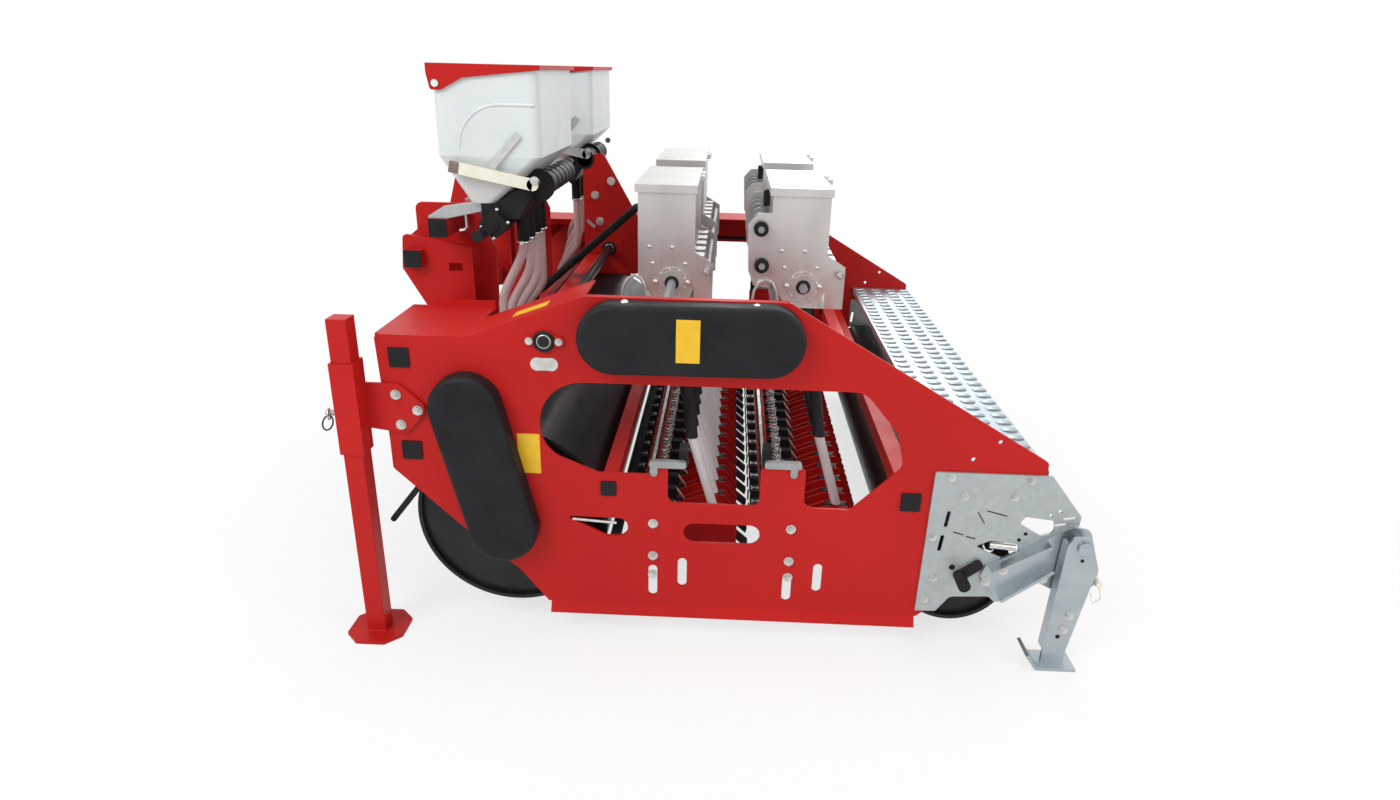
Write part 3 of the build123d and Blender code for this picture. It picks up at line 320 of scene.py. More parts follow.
def red_paint():
    colour = (0.51, 0.014, 0.012)
    mat = material("red_paint", colour, rough=0.4, Specular_IOR_Level=0.16)
    tint(mat, noise(mat, 2.2, 4), shade(colour, 0.9), shade(colour, 1.07))
    shine(mat, noise(mat, 9, 5), 0.34, 0.46)
    relief(mat, noise(mat, 420, 2), 0.06, 0.0006)
    return mat


def galvanised():
    colour = (0.43, 0.47, 0.47)
    mat = material("galvanised", colour, rough=0.42, metal=0.55)
    tint(mat, spangle(mat, 70), shade(colour, 0.96), shade(colour, 1.04))
    shine(mat, spangle(mat, 70), 0.38, 0.48)
    relief(mat, noise(mat, 160, 4), 0.05, 0.0006)
    return mat


def tread_plate():
    colour = (0.44, 0.51, 0.55)
    mat = material("tread_plate", colour, rough=0.36, metal=0.8)
    tint(mat, noise(mat, 6, 4), shade(colour, 0.94), shade(colour, 1.08))
    shine(mat, noise(mat, 40, 3), 0.3, 0.44)
    return mat


def zinc():
    mat = material("zinc", (0.42, 0.46, 0.49), rough=0.32, metal=0.8)
    tint(mat, noise(mat, 9, 4, (1, 1, 2.2)), (0.37, 0.42, 0.45), (0.46, 0.5, 0.52))
    shine(mat, noise(mat, 12, 3), 0.24, 0.36)
    relief(mat, noise(mat, 260, 3), 0.05, 0.0006)
    return mat


def aluminium():
    colour = (0.58, 0.57, 0.55)
    mat = material("aluminium", colour, rough=0.4, metal=0.7)
    tint(mat, noise(mat, 12, 5, (1, 1, 0.35)), shade(colour, 0.9), shade(colour, 1.08))
    shine(mat, noise(mat, 1.0, 3, (500, 500, 9)), 0.28, 0.44)
    relief(mat, noise(mat, 1.0, 2, (900, 900, 14)), 0.05, 0.0005)
    return mat


def bright_steel():
    colour = (0.62, 0.62, 0.6)
    mat = material("bright_steel", colour, rough=0.3, metal=0.95)
    tint(mat, noise(mat, 40, 3), shade(colour, 0.85), shade(colour, 1.1))
    shine(mat, noise(mat, 60, 3), 0.22, 0.4)
    return mat


def cast_grey():
    colour = (0.33, 0.34, 0.34)
    mat = material("cast_grey", colour, rough=0.5, metal=0.5)
    tint(mat, noise(mat, 30, 4), shade(colour, 0.85), shade(colour, 1.12))
    shine(mat, noise(mat, 50, 3), 0.42, 0.58)
    relief(mat, noise(mat, 300, 3), 0.06, 0.0006)
    return mat


def black_steel():
    colour = (0.011, 0.011, 0.012)
    mat = material("black_steel", colour, rough=0.36, Specular_IOR_Level=0.28)
    tint(mat, noise(mat, 7, 6), shade(colour, 0.7), shade(colour, 1.6))
    shine(mat, noise(mat, 1.0, 4, (30, 4, 30)), 0.27, 0.5)
    relief(mat, noise(mat, 120, 5), 0.07, 0.0008)
    return mat


def black_plastic():
    colour = (0.014, 0.014, 0.016)
    mat = material("black_plastic", colour, rough=0.5, Specular_IOR_Level=0.15)
    tint(mat, noise(mat, 11, 4), shade(colour, 0.8), shade(colour, 1.35))
    shine(mat, noise(mat, 20, 3), 0.42, 0.58)
    relief(mat, noise(mat, 900, 2), 0.12, 0.0004)
    return mat


def black_rubber():
    colour = (0.017, 0.017, 0.018)
    mat = material("black_rubber", colour, rough=0.62, Specular_IOR_Level=0.15)
    tint(mat, noise(mat, 25, 4), shade(colour, 0.7), shade(colour, 1.4))
    shine(mat, noise(mat, 40, 3), 0.5, 0.72)
    relief(mat, noise(mat, 500, 3), 0.1, 0.0004)
    return mat


def white_plastic():
    colour = (0.76, 0.77, 0.77)
    mat = material("white_plastic", colour, rough=0.35, Subsurface_Weight=0.25, Subsurface_Scale=0.03)
    tint(mat, noise(mat, 5, 4), (0.73, 0.74, 0.73), (0.79, 0.8, 0.8))
    shine(mat, noise(mat, 12, 3), 0.3, 0.42)
    relief(mat, noise(mat, 45, 3), 0.04, 0.001)
    return mat


# Brighter copy of the white plastic for the lower seed tubes: painted light that makes up for the shade on
# them
def tube_white_painted_light():
    mat = material("tube_white_painted_light", (0.88, 0.89, 0.89), rough=0.4)
    tint(mat, noise(mat, 9, 3), (0.85, 0.86, 0.86), (0.91, 0.92, 0.92))
    shine(mat, noise(mat, 20, 3), 0.34, 0.46)
    return mat


def clear_hose():
    """Milky hose that only lets a little light through."""
    mat = material("clear_hose", (0.62, 0.45, 0.45), rough=0.25, Transmission_Weight=0.08, IOR=1.35)
    tint(mat, noise(mat, 6, 2), (0.58, 0.41, 0.41), (0.66, 0.49, 0.49))
    shine(mat, noise(mat, 6, 2), 0.2, 0.3)
    return mat


def yellow_film():
    colour = (0.86, 0.5, 0.012)
    mat = material("yellow_film", colour, rough=0.38)
    tint(mat, noise(mat, 30, 3), shade(colour, 0.94), shade(colour, 1.05))
    shine(mat, noise(mat, 60, 2), 0.3, 0.45)
    return mat


def cream_plastic():
    colour = (0.8, 0.83, 0.68)
    mat = material("cream_plastic", colour, rough=0.4)
    tint(mat, noise(mat, 25, 3), shade(colour, 0.93), shade(colour, 1.04))
    shine(mat, noise(mat, 50, 2), 0.32, 0.48)
    return mat


def brown_plastic():
    colour = (0.2, 0.15, 0.13)
    mat = material("brown_plastic", colour, rough=0.5)
    tint(mat, noise(mat, 40, 3), shade(colour, 0.8), shade(colour, 1.2))
    shine(mat, noise(mat, 50, 2), 0.42, 0.58)
    return mat


RED = red_paint()
GALVANISED = galvanised()
ZINC = zinc()
ALUMINIUM = aluminium()
STEEL = bright_steel()
CAST = cast_grey()
TREAD = tread_plate()
TUBES_PAINTED_LIGHT = tube_white_painted_light()
BLACK_STEEL = black_steel()
PLASTIC = black_plastic()
RUBBER = black_rubber()
WHITE = white_plastic()
CLEAR = clear_hose()
YELLOW = yellow_film()
CREAM = cream_plastic()
BROWN = brown_plastic()

# Finish of each material slot, and of the nodes that differ from their slot
SLOTS = {
    "red_paint": RED,
    "galvanised": GALVANISED,
    "aluminium": ALUMINIUM,
    "bright_steel": STEEL,
    "black_steel": BLACK_STEEL,
    "black_plastic": PLASTIC,
    "black_rubber": RUBBER,
    "white_plastic": WHITE,
    "clear_hose": CLEAR,
}
FINISHES = {
    "foot_arms": ZINC,
    "folding_foot_left": ZINC,
    "folding_foot_right": ZINC,
    "control_levers": CAST,
    "drive_shaft": BLACK_STEEL,
    "drive_bearings": RED,
    "scraper_bar": PLASTIC,
    "meter_shafts": CAST,
    "step_board": TREAD,
    "seed_tubes_lower": TUBES_PAINTED_LIGHT,
}
for part in frame["record"]["subparts"]:
    shown = frame["nodes"][part["node"]]
    shown.data.materials.clear()
    shown.data.materials.append(FINISHES.get(part["node"], SLOTS[part["material_slot"]]))


# Edges of the CAD nodes

def weld(shown):
    shown.modifiers.new("weld", "WELD").merge_threshold = WELD_GAP


def smooth(shown):
    """Round look on a bent tube, with sharp ends."""
    weld(shown)
    shown.modifiers.new("split", "EDGE_SPLIT").split_angle = math.radians(TUBE_SPLIT)
    shown.data.polygons.foreach_set("use_smooth", [True] * len(shown.data.polygons))


def soften(shown, width):
    """Small rounded edges."""
    weld(shown)
    edge = shown.modifiers.new("edge", "BEVEL")
    edge.width = width
    edge.segments = 2
    edge.limit_method = "ANGLE"
    edge.angle_limit = math.radians(BEVEL_TURN)
    edge.harden_normals = True


smooth(frame["nodes"]["seed_tubes_upper"])
smooth(frame["nodes"]["seed_tubes_lower"])

# Width of the rounded edge in metres, and how the names of its nodes start
PLATE_NODES = ("side_plate", "rear_plate", "hitch_brackets", "mast", "drive_plate")
EDGES = {
    0.0015: PLATE_NODES + ("foot_arms", "folding_foot"),
    0.002: ("top_sheet", "cross_tubes", "toolbars", "stand_sleeves", "stand_leg", "step_board"),
    0.001: ("seed_hopper", "seed_lid", "granule_lid", "granule_brackets", "end_caps", "granule_meter"),
    0.0008: ("coulter_", "control_levers", "handles", "scraper_bar"),
}
for width, starts in EDGES.items():
    for name, shown in frame["nodes"].items():
        if name.startswith(starts):
            soften(shown, width)


# Builders of small pieces, in millimetres

class Shape:
    """Small solids gathered in one mesh."""

    def __init__(self):
        self.mesh = bmesh.new()

    def cylinder(self, at, axis, r, length, sides=24):
        """Cylinder that starts at a point and runs along an axis."""
        along = Vector(axis).normalized()
        turn = along.to_track_quat("Z", "Y").to_matrix().to_4x4()
        place = Matrix.Translation(Vector(at) + along * length / 2) @ turn
        bmesh.ops.create_cone(
            self.mesh, cap_ends=True, segments=sides, radius1=r, radius2=r, depth=length, matrix=place
        )

    def dome(self, at, axis, r, height):
        """Round head that stands on a surface."""
        turn = Vector(axis).to_track_quat("Z", "Y").to_matrix().to_4x4()
        place = Matrix.Translation(at) @ turn @ Matrix.Diagonal((1, 1, height / r, 1))
        bmesh.ops.create_uvsphere(self.mesh, u_segments=16, v_segments=10, radius=r, matrix=place)

    def lens(self, at, length, width, height):
        """Long flat dome on a level surface."""
        size = Matrix.Diagonal((length / 2, width / 2, height, 1))
        place = Matrix.Translation(at) @ size
        bmesh.ops.create_uvsphere(self.mesh, u_segments=16, v_segments=8, radius=1, matrix=place)

    def box(self, x0, x1, y0, y1, z0, z1):
        """Box between two limits on each axis."""
        middle = Matrix.Translation(((x0 + x1) / 2, (y0 + y1) / 2, (z0 + z1) / 2))
        size = Matrix.Diagonal((x1 - x0, y1 - y0, z1 - z0, 1))
        bmesh.ops.create_cube(self.mesh, size=1, matrix=middle @ size)

    def bar(self, start, end, width, height):
        """Flat bar between two points; width lies level across it."""
        start = Vector(start)
        line = Vector(end) - start
        turn = line.to_track_quat("X", "Z").to_matrix().to_4x4()
        size = Matrix.Diagonal((line.length, width, height, 1))
        place = Matrix.Translation(start + line / 2) @ turn @ size
        bmesh.ops.create_cube(self.mesh, size=1, matrix=place)

    def slope(self, x0, z0, x1, z1, thick, y0, y1):
        """Sheet below a sloping line, from one Y to another."""
        outline = [(x0, z0), (x1, z1), (x1, z1 - thick), (x0, z0 - thick)]
        rows = [[self.mesh.verts.new((x, y, z)) for x, z in outline] for y in (y0, y1)]
        self.mesh.faces.new(rows[0])
        self.mesh.faces.new(list(reversed(rows[1])))
        for k in range(4):
            m = (k + 1) % 4
            self.mesh.faces.new((rows[0][m], rows[0][k], rows[1][k], rows[1][m]))

    def tube(self, points, r, sides, closed=False):
        """Round tube along a line of points."""
        points = [Vector(p) for p in points]
        count = len(points)
        normal = None
        rings = []
        for i, p in enumerate(points):
            before = points[i - 1] if closed or i else p
            after = points[(i + 1) % count] if closed or i < count - 1 else p
            along = (after - before).normalized()
            if normal is None:
                normal = along.orthogonal().normalized()
            normal = (normal - along * normal.dot(along)).normalized()
            side = along.cross(normal)
            ring = []
            for k in range(sides):
                turn = math.tau * k / sides
                spoke = normal * math.cos(turn) + side * math.sin(turn)
                ring.append(self.mesh.verts.new(p + spoke * r))
            rings.append(ring)
        for i in range(count if closed else count - 1):
            a = rings[i]
            b = rings[(i + 1) % count]
            for k in range(sides):
                m = (k + 1) % sides
                self.mesh.faces.new((a[k], a[m], b[m], b[k]))
        if not closed:
            self.mesh.faces.new(list(reversed(rings[0])))
            self.mesh.faces.new(rings[-1])

    def ring(self, at, axis, big, small, steps=28):
        """Wire ring about a point."""
        turn = Vector(axis).to_track_quat("Z", "Y")
        points = []
        for k in range(steps):
            angle = math.tau * k / steps
            points.append(Vector(at) + turn @ Vector((big * math.cos(angle), big * math.sin(angle), 0)))
        self.tube(points, small, sides=8, closed=True)

    def coil(self, at, height, big, small, turns):
        """Upright coil spring."""
        steps = turns * 14
        points = []
        for k in range(steps + 1):
            angle = math.tau * turns * k / steps
            lift = small + (height - 2 * small) * k / steps
            points.append(Vector(at) + Vector((big * math.cos(angle), big * math.sin(angle), lift)))
        self.tube(points, small, sides=6)

    def bolt(self, x, y, z, out, flats):
        """Hexagon bolt with washer on a face that looks along Y."""
        axis = (0, out, 0)
        washer = 2
        head = flats * 0.4
        self.cylinder((x, y, z), axis, r=flats * 0.72, length=washer)
        self.cylinder((x, y + washer * out, z), axis, r=flats / math.sqrt(3), length=head, sides=6)
        self.cylinder((x, y + out * (washer + head), z), axis, r=flats * 0.3, length=flats * 0.25, sides=14)

    def mirrored(self):
        """Adds the mirror copies on the other side of the machine."""
        everything = self.mesh.verts[:] + self.mesh.edges[:] + self.mesh.faces[:]
        made = bmesh.ops.duplicate(self.mesh, geom=everything)
        for item in made["geom"]:
            if isinstance(item, bmesh.types.BMVert):
                item.co.y = -item.co.y

    def piece(self, name, mat, body="frame"):
        """One object of all the solids, in metres, that rides on a body."""
        bmesh.ops.scale(self.mesh, vec=(0.001, 0.001, 0.001), verts=self.mesh.verts)
        bmesh.ops.recalc_face_normals(self.mesh, faces=self.mesh.faces)
        data = bpy.data.meshes.new(name)
        self.mesh.to_mesh(data)
        self.mesh.free()
        data.materials.append(mat)
        data.polygons.foreach_set("use_smooth", [True] * len(data.polygons))
        data.set_sharp_from_angle(angle=math.radians(SHARP_TURN))
        made = bpy.data.objects.new(name, data)
        bpy.context.collection.objects.link(made)
        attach(made, body)
        return made


def at_y(y, pairs):
    """Points from pairs of x and z, all at one y."""
    return [(x, y, z) for x, z in pairs]


def side_bolts():
    shape = Shape()
    for face, flats, places in SIDE_BOLTS:
        for x, z in places:
            shape.bolt(x, face, z, -1, flats)
    shape.mirrored()
    for dx in (-EAR_SPAN, EAR_SPAN):
        shape.bolt(DRIVE.x + dx, BEARING_FACE, DRIVE.z, -1, flats=13)
    for knob in GUARD_KNOBS:
        shape.dome(knob, UP, r=11, height=8)
    shape.piece("bolts_frame", STEEL)


def foot_details():
    """Bolts on the folding feet, dark discs that paint the shade in their holes, and the stop pins on their
    arms.
    """
    for hand, side in (("left", 1), ("right", -1)):
        shape = Shape()
        for x, z in FOOT_BOLTS:
            shape.bolt(x, FOOT_FACE * side, z, -side, flats=16)
        shape.piece(f"foot_bolts_{hand}", STEEL, f"folding_foot_{hand}")
        # Dark discs over the holes: painted shade
        dark = Shape()
        for x, z, r in FOOT_HOLES:
            dark.cylinder((x, FOOT_FACE * side, z), (0, -side, 0), r, MARK_T, sides=18)
        dark.piece(f"foot_hole_shade_{hand}", PLASTIC, f"folding_foot_{hand}")
    pins = Shape()
    pins.cylinder(STOP_PIN, NEAR, r=9, length=40, sides=20)
    pins.tube(STOP_CLIP, r=2, sides=8)
    pins.mirrored()
    pins.piece("foot_stop_pins", CREAM)


def rear_plate_details():
    """Fine cuts as dark lines and dark discs that paint the shade in the holes of the rear plates, and the
    springs of the latches.
    """
    lines = Shape()
    for x0, z0, x1, z1 in REAR_CUTS:
        lines.bar((x0, REAR_Y, z0), (x1, REAR_Y, z1), width=1, height=3)
    # Dark discs over the holes: painted shade
    for x, z, r, sides in REAR_HOLES:
        lines.cylinder((x, REAR_Y, z), NEAR, r, MARK_T, sides)
    lines.mirrored()
    lines.piece("rear_plate_cuts_and_hole_shade", PLASTIC)
    latch = Shape()
    latch.tube(LATCH_SPRING, r=9, sides=16)
    latch.tube(LATCH_HOOK, r=3, sides=8)
    latch.mirrored()
    latch.piece("latch_springs", STEEL)


def stickers():
    shape = Shape()
    for face, (x0, x1, z0, z1) in ((GUARD_FACE, GUARD_STICKER), (PLATE_Y, PLATE_STICKER)):
        shape.box(x0, x1, face - FILM_T, face, z0, z1)
    shape.bar(*POD_STICKER, width=46, height=0.8)
    shape.piece("blank_stickers", YELLOW)
    oval = Shape()
    oval.box(*OVAL_XS, PLATE_Y - 1, PLATE_Y, OVAL_Z - OVAL_R + 1, OVAL_Z + OVAL_R - 1)
    for x in OVAL_XS:
        oval.cylinder((x, PLATE_Y, OVAL_Z), NEAR, OVAL_R, length=1.2, sides=32)
    oval.piece("blank_oval", STEEL)


def hopper_details():
    """Screws, bearing flanges and wire loops on the hoppers' ends, and the seals of all shafts."""
    metal = Shape()
    seals = Shape()
    for xs in HOPPER_XS:
        for dx, z in HOPPER_SCREWS:
            metal.dome((xs + dx, HOPPER_END, z), NEAR, r=6, height=4)
        metal.cylinder((xs, HOPPER_END - 5, FLANGE_Z), NEAR, r=34, length=5, sides=36)
        ends = [(xs - FLANGE_BAR, FLANGE_Z + 1), (xs + FLANGE_BAR, FLANGE_Z + 1)]
        metal.bar(*at_y(HOPPER_END - 6, ends), width=4, height=22)
        for k in range(FLANGE_SCREWS):
            turn = math.tau * (k + 0.5) / FLANGE_SCREWS
            x = xs + FLANGE_SCREW_R * math.cos(turn)
            z = FLANGE_Z + FLANGE_SCREW_R * math.sin(turn)
            metal.dome((x, HOPPER_END - 5, z), NEAR, r=3.5, height=3)
        for dx in (-FLANGE_NUT, FLANGE_NUT):
            metal.dome((xs + dx, HOPPER_END - 8, FLANGE_Z + 2), NEAR, r=8, height=6)
        seals.ring((xs, HOPPER_END - 10, FLANGE_Z), NEAR, big=16, small=4.5)
        metal.dome((xs + ROD_CAP[0], HOPPER_END - 24, ROD_CAP[1]), NEAR, r=10, height=7)
        metal.tube([(xs + dx, HOPPER_END - 8, z) for dx, z in HOPPER_LOOP], r=4.5, sides=8)
    metal.mirrored()
    seals.mirrored()
    metal.piece("hopper_fittings", ALUMINIUM)
    for x, z in FEED_AXES:
        for y in FEED_COLLARS:
            seals.cylinder((x, y, z), NEAR, r=20, length=16, sides=28)
    for face in (DRIVE_FACE, PLATE_Y):
        seals.ring((DRIVE.x, face - 5, DRIVE.z), NEAR, big=22, small=5)
    seals.piece("hopper_seals", RUBBER)


def left_top_sheet():
    """Pod sheet with its lips, the rising sheet behind it and a narrow rim along the top."""
    shape = Shape()
    front = SHEET_LOW.x
    outer = SHEET_LOW.y
    inner = SHEET_HIGH.y
    under = POD_TOP - SHEET_T
    top = SHEET_HIGH.z
    shape.box(front, POD_END, outer, inner, under, POD_TOP)
    shape.box(LIP_START, POD_END, inner - SHEET_T, inner, POD_TOP, POD_TOP + LIP_UP)
    shape.box(front, front + SHEET_T, outer, inner, SHEET_LOW.z, under)
    shape.slope(POD_END, POD_TOP, RISE_END, top, SHEET_T, outer, outer + RISE_IN)
    shape.slope(RISE_END, top, SHEET_HIGH.x, top, SHEET_T, outer, outer + RIM_IN)
    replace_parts(shape.piece("top_sheet_left_folds", RED), "top_sheet_left")


def bend(t):
    """Smooth step from 0 to 1."""
    t = min(max(t, 0), 1)
    return t * t * (3 - 2 * t)


def hoses():
    """Granule hoses with soft bends, and the three conduits."""
    clear = Shape()
    drop = (HOSE_HIGH.z - HOSE_LOW.z) / HOSE_STEPS
    for y, (start, end) in zip(HOSE_YS, HOSE_BENDS):
        points = []
        for k in range(HOSE_STEPS + 1):
            z = HOSE_HIGH.z - drop * k
            points.append((HOSE_X - HOSE_SHIFT * bend((start - z) / (start - end)), -y, z))
        clear.tube(points, HOSE_R, sides=16)
    clear.mirrored()
    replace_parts(clear.piece("smooth_hoses", CLEAR), "granule_hoses")
    sleeves = Shape()
    run = [tuple(a + b * k for a, b in zip(CONDUIT_RUN, CONDUIT_STEP)) for k in range(11)]
    for y in CONDUIT_YS:
        sleeves.tube(at_y(y, [*CONDUIT_TOP, *run, *CONDUIT_FOOT]), r=11.5, sides=14)
    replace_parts(sleeves.piece("conduit_sleeves", RUBBER), "conduits")


def drive_details():
    shape = Shape()
    for x, z in DRIVE_BOLTS:
        shape.bolt(x, DRIVE_FACE, z, -1, flats=20)
    shape.bar(*at_y(DRIVE_FACE - 14, DRIVE_STOP), width=10, height=10)
    for face in (DRIVE_FACE, PLATE_Y):
        shape.ring((DRIVE.x, face - 5, DRIVE.z), NEAR, big=16, small=3)
    shape.tube(at_y(PLATE_Y - 3, SLOT_PIN), r=4, sides=12)
    shape.piece("drive_bolts", STEEL)
    # Thin black band along the top edge of the far side plate's window
    strip = Shape()
    strip.box(*FAR_WINDOW_BAND)
    strip.piece("far_window_band", RUBBER)


def dose_lever(name, mat, end):
    """Lever beside the end of a granule hopper."""
    shape = Shape()
    y = end - LEVER_OUT
    shape.bar(*at_y(y, (LEVER_HAND, LEVER_PIVOT)), width=8, height=30)
    shape.cylinder((LEVER_PIVOT[0], y + 4, LEVER_PIVOT[1]), NEAR, r=15, length=8, sides=28)
    shape.piece(name, mat)


def granule_details():
    """Dose levers, metering discs, small fittings of both granule units and bright steel strips that paint
    highlights on the metering discs.
    """
    dose_lever("dose_lever_left", CREAM, GRAN_END)
    # The inner lever is the same cream lever; its grey galvanised finish is painted shade from the hoppers
    # above it
    dose_lever("dose_lever_right_painted_shade", GALVANISED, GRAN_INNER)
    tips = Shape()
    metal = Shape()
    discs = Shape()
    for end in (GRAN_END, GRAN_INNER):
        tips.bar(*at_y(end - LEVER_OUT, LEVER_TIP), width=12, height=28)
        metal.bar(*at_y(end - 6, STRUT), width=3, height=17)
        metal.bolt(SHUTTER_NUT[0], end - 20, SHUTTER_NUT[1], -1, flats=15)
        discs.cylinder((END_DISC[0], end + 110, END_DISC[1]), NEAR, r=43, length=10, sides=36)
        discs.cylinder((SHUTTER_HUB[0], end - 4, SHUTTER_HUB[1]), NEAR, r=12, length=14, sides=20)
    tips.piece("dose_lever_ends", BROWN)
    for x, z in METER_SCREWS:
        metal.dome((x, GRAN_END, z), NEAR, r=5, height=4)
    for y in HOSE_YS:
        metal.ring((HOSE_X, -y, CLAMP_Z), UP, big=17, small=2.8)
        metal.box(HOSE_X - 5, HOSE_X + 5, -y - 26, -y - 16, CLAMP_Z - 5, CLAMP_Z + 5)
    # Painted highlights: bright steel strips that follow the tops of the metering discs
    for y in DISC_GLINT_YS:
        metal.bar(*at_y(-y, DISC_GLINT), width=12, height=2)
    metal.mirrored()
    metal.tube(HOOK, r=5, sides=10)
    metal.piece("granule_fittings_and_disc_glints", STEEL)
    x, z = BRUSH_XZ
    for y in BRUSH_YS:
        for start in (-y, y + BRUSH_T):
            discs.cylinder((x, start, z), NEAR, r=34, length=BRUSH_T, sides=36)
    for start in (-BRUSH_YS[0], BRUSH_YS[0] + BRUSH_HUB_L):
        discs.cylinder((x, start, z), NEAR, r=26, length=BRUSH_HUB_L)
    discs.piece("meter_discs", PLASTIC)


def hopper_arches():
    """Raised bead on the ends of the white hoppers, a quarter round and a level stretch."""
    arch = Shape()
    x, z = ARCH_MIDDLE
    line = []
    for k in range(ARCH_STEPS + 1):
        angle = math.radians(180 - 90 * k / ARCH_STEPS)
        line.append((x + ARCH_SPAN * math.cos(angle), z + ARCH_RISE * math.sin(angle)))
    line.append((ARCH_END, z + ARCH_RISE))
    arch.tube(at_y(GRAN_END + 2, line), r=5, sides=10)
    arch.mirrored()
    arch.piece("hopper_arches", WHITE)


def coulter_details():
    """Coil springs, links, clips and rings of every row."""
    coils = Shape()
    clips = Shape()
    rings = Shape()
    front, back = CLIP_XS
    for xb, shift in zip(BANK_XS, BANK_SHIFT):
        for i in range(ROWS):
            y = (i - (ROWS - 1) / 2) * PITCH + shift
            coils.coil((xb + SPRING_X, y, SPRING_SEAT), SPRING_H, big=10, small=2.2, turns=7)
            coils.tube([(xb + dx, y, z) for dx, z in LINK], r=5, sides=10)
            clips.box(xb + front, xb + back, y - CLIP_WEB, y + CLIP_WEB, *CLIP_ZS)
            for start in (xb + front, xb + back - CLIP_RAIL):
                clips.box(start, start + CLIP_RAIL, y - CLIP_HALF, y + CLIP_HALF, *CLIP_ZS)
            rings.ring((xb + LADDER_RING[0], y, LADDER_RING[1]), (1, 0, 0), big=15, small=2.2, steps=20)
    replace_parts(coils.piece("coil_springs", STEEL), "coulter_springs")
    clips.piece("ladder_clips", STEEL)
    rings.piece("ladder_rings", BLACK_STEEL)


def step_grip():
    """Pressed ridges in four columns, each with a dark grey wire along the mouth on its left-hand side that
    paints the shade inside it.
    """
    ridges = Shape()
    mouths = Shape()
    other_half = [(-dx, dy, up) for dx, dy, up in reversed(GRIP_LIP[:-1])]
    for x in GRIP_XS:
        for j in range(GRIP_ROWS):
            y = (j - (GRIP_ROWS - 1) / 2) * GRIP_PITCH
            ridges.lens((x, y, STEP_TOP), length=47, width=26, height=6)
            # Dark grey wire along each mouth: painted shade in the opening
            lip = [(x + dx, y + dy, STEP_TOP + up) for dx, dy, up in (*GRIP_LIP, *other_half)]
            mouths.tube(lip, r=1.6, sides=6)
    ridges.piece("step_grip", TREAD)
    mouths.piece("step_mouth_shade", CAST)


def stand_details():
    """Rings and loops on the cross pins of the stands."""
    rings = Shape()
    loops = Shape()
    for side in (-1, 1):
        x, y, z = PIN_RING
        rings.ring((x, side * y, z), (1, 0.2, 0), big=14, small=2)
        x, y, z = PIN_LOOP
        loops.ring((x, side * y, z), (1, -0.3, 0), big=18, small=2)
    rings.piece("stand_pin_rings", STEEL)
    loops.piece("stand_pin_loops", RUBBER)


side_bolts()
foot_details()
rear_plate_details()
stickers()
hopper_details()
left_top_sheet()
hoses()
drive_details()
granule_details()
hopper_arches()
coulter_details()
step_grip()
stand_details()


# Stage, light and camera

def background_rays(owner):
    """1 for rays that show the background: from the camera, off metal and through clear pieces."""
    path = node(owner, "ShaderNodeLightPath")
    seen = path.outputs["Is Camera Ray"]
    for ray in ("Is Glossy Ray", "Is Transmission Ray"):
        either = node(owner, "ShaderNodeMath", operation="MAXIMUM")
        link(owner, seen, either.inputs[0])
        link(owner, path.outputs[ray], either.inputs[1])
        seen = either.outputs[0]
    return seen


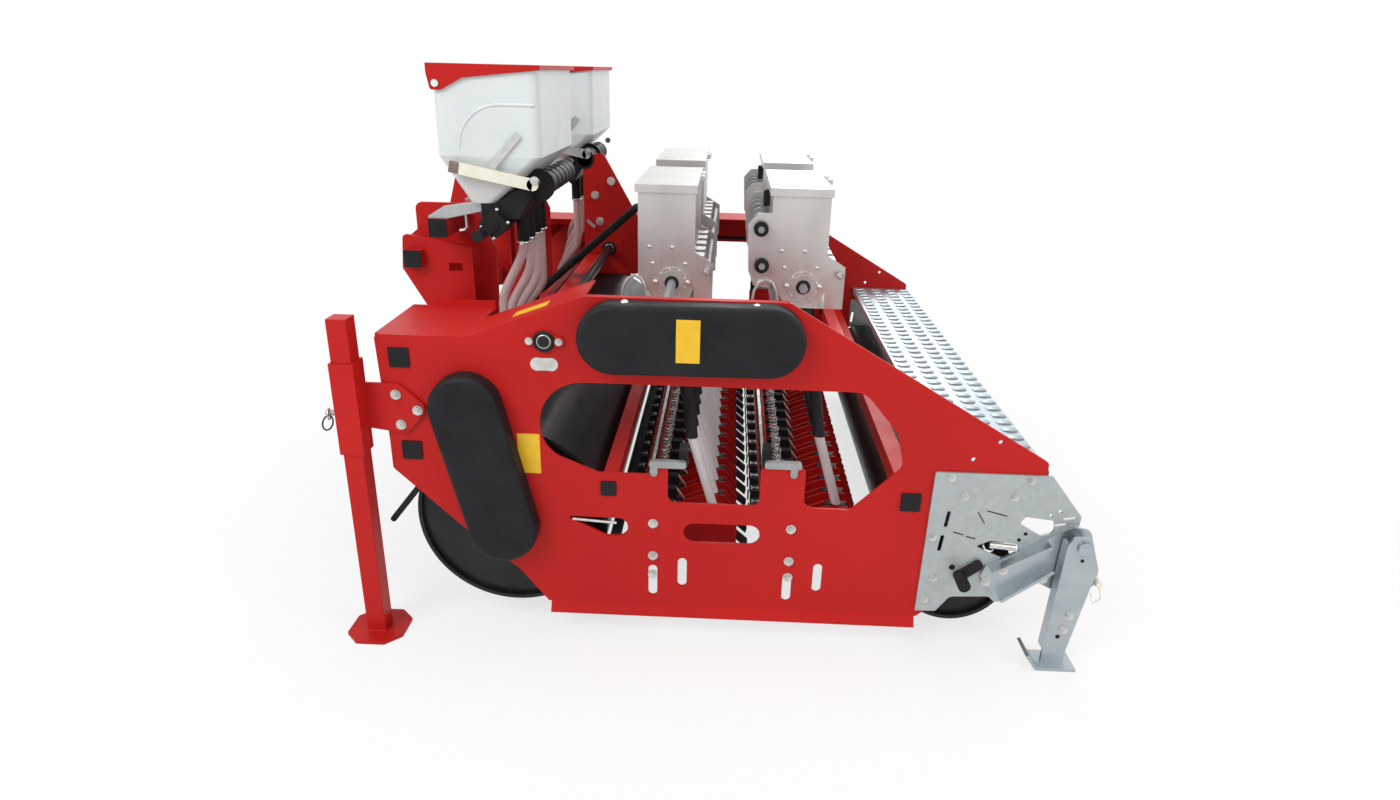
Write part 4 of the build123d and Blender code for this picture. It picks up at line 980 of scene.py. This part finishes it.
def floor():
    """Pale floor that keeps a soft shadow and turns plain white away from the machine."""
    bpy.ops.mesh.primitive_plane_add(size=FLOOR_SIZE)
    plane = bpy.context.object
    plane.name = "floor"
    mat = material("floor", (0.86, 0.86, 0.86), rough=0.9, Specular_IOR_Level=0.1)
    tint(mat, noise(mat, 0.4, 2), (0.85, 0.85, 0.85), (0.88, 0.88, 0.88))
    white = node(mat, "ShaderNodeEmission")
    white.inputs["Strength"].default_value = 1.0
    away = node(mat, "ShaderNodeVectorMath", operation="LENGTH")
    link(mat, coordinates(mat), away.inputs[0])
    share = node(mat, "ShaderNodeMath", operation="MULTIPLY")
    link(mat, background_rays(mat), share.inputs[0])
    link(mat, spread(mat, away.outputs["Value"], FADE_REACH, FADE_WHITE), share.inputs[1])
    mix = node(mat, "ShaderNodeMixShader")
    link(mat, share.outputs[0], mix.inputs[0])
    link(mat, principled(mat).outputs[0], mix.inputs[1])
    link(mat, white.outputs[0], mix.inputs[2])
    link(mat, mix.outputs[0], mat.node_tree.nodes["Material Output"].inputs["Surface"])
    plane.data.materials.append(mat)


def area_light(name, at, aim, size, power):
    data = bpy.data.lights.new(name, "AREA")
    data.shape = "DISK"
    data.size = size
    data.energy = power
    lamp = bpy.data.objects.new(name, data)
    bpy.context.collection.objects.link(lamp)
    lamp.location = at
    lamp.rotation_euler = (Vector(aim) - Vector(at)).to_track_quat("-Z", "Y").to_euler()


def world_light(strength):
    """Even light on the object, with plain white behind it."""
    world = bpy.data.worlds.new("studio")
    bpy.context.scene.world = world
    world.use_nodes = True
    light = world.node_tree.nodes["Background"]
    light.inputs["Color"].default_value = (1, 1, 1, 1)
    light.inputs["Strength"].default_value = strength
    white = node(world, "ShaderNodeBackground")
    white.inputs["Color"].default_value = (1, 1, 1, 1)
    white.inputs["Strength"].default_value = 1.0
    mix = node(world, "ShaderNodeMixShader")
    link(world, background_rays(world), mix.inputs[0])
    link(world, light.outputs[0], mix.inputs[1])
    link(world, white.outputs[0], mix.inputs[2])
    link(world, mix.outputs[0], world.node_tree.nodes["World Output"].inputs["Surface"])


def camera():
    data = bpy.data.cameras.new("camera")
    data.sensor_fit = "HORIZONTAL"
    data.sensor_width = SENSOR
    data.lens = SENSOR * FOCAL_SHARE
    data.clip_end = 100
    eye = bpy.data.objects.new("camera", data)
    bpy.context.collection.objects.link(eye)
    turn = Matrix((CAMERA_RIGHT, -CAMERA_DOWN, -CAMERA_FORWARD)).transposed().to_4x4()
    eye.matrix_world = Matrix.Translation(CAMERA_AT) @ turn
    bpy.context.scene.camera = eye


floor()
world_light(0.55)
area_light("key", at=(-2.6, -3.6, 3.8), aim=(0, 0, 0.6), size=2.6, power=105)
area_light("fill", at=(3.2, -3.0, 2.4), aim=(0, 0, 0.6), size=2.4, power=40)
area_light("top", at=(0.2, 0.4, 4.6), aim=(0, 0, 0.5), size=3.4, power=65)
area_light("back", at=(1.0, 4.2, 3.2), aim=(0, 0, 0.7), size=2.6, power=60)
camera()

bpy.context.scene.view_settings.view_transform = "Standard"
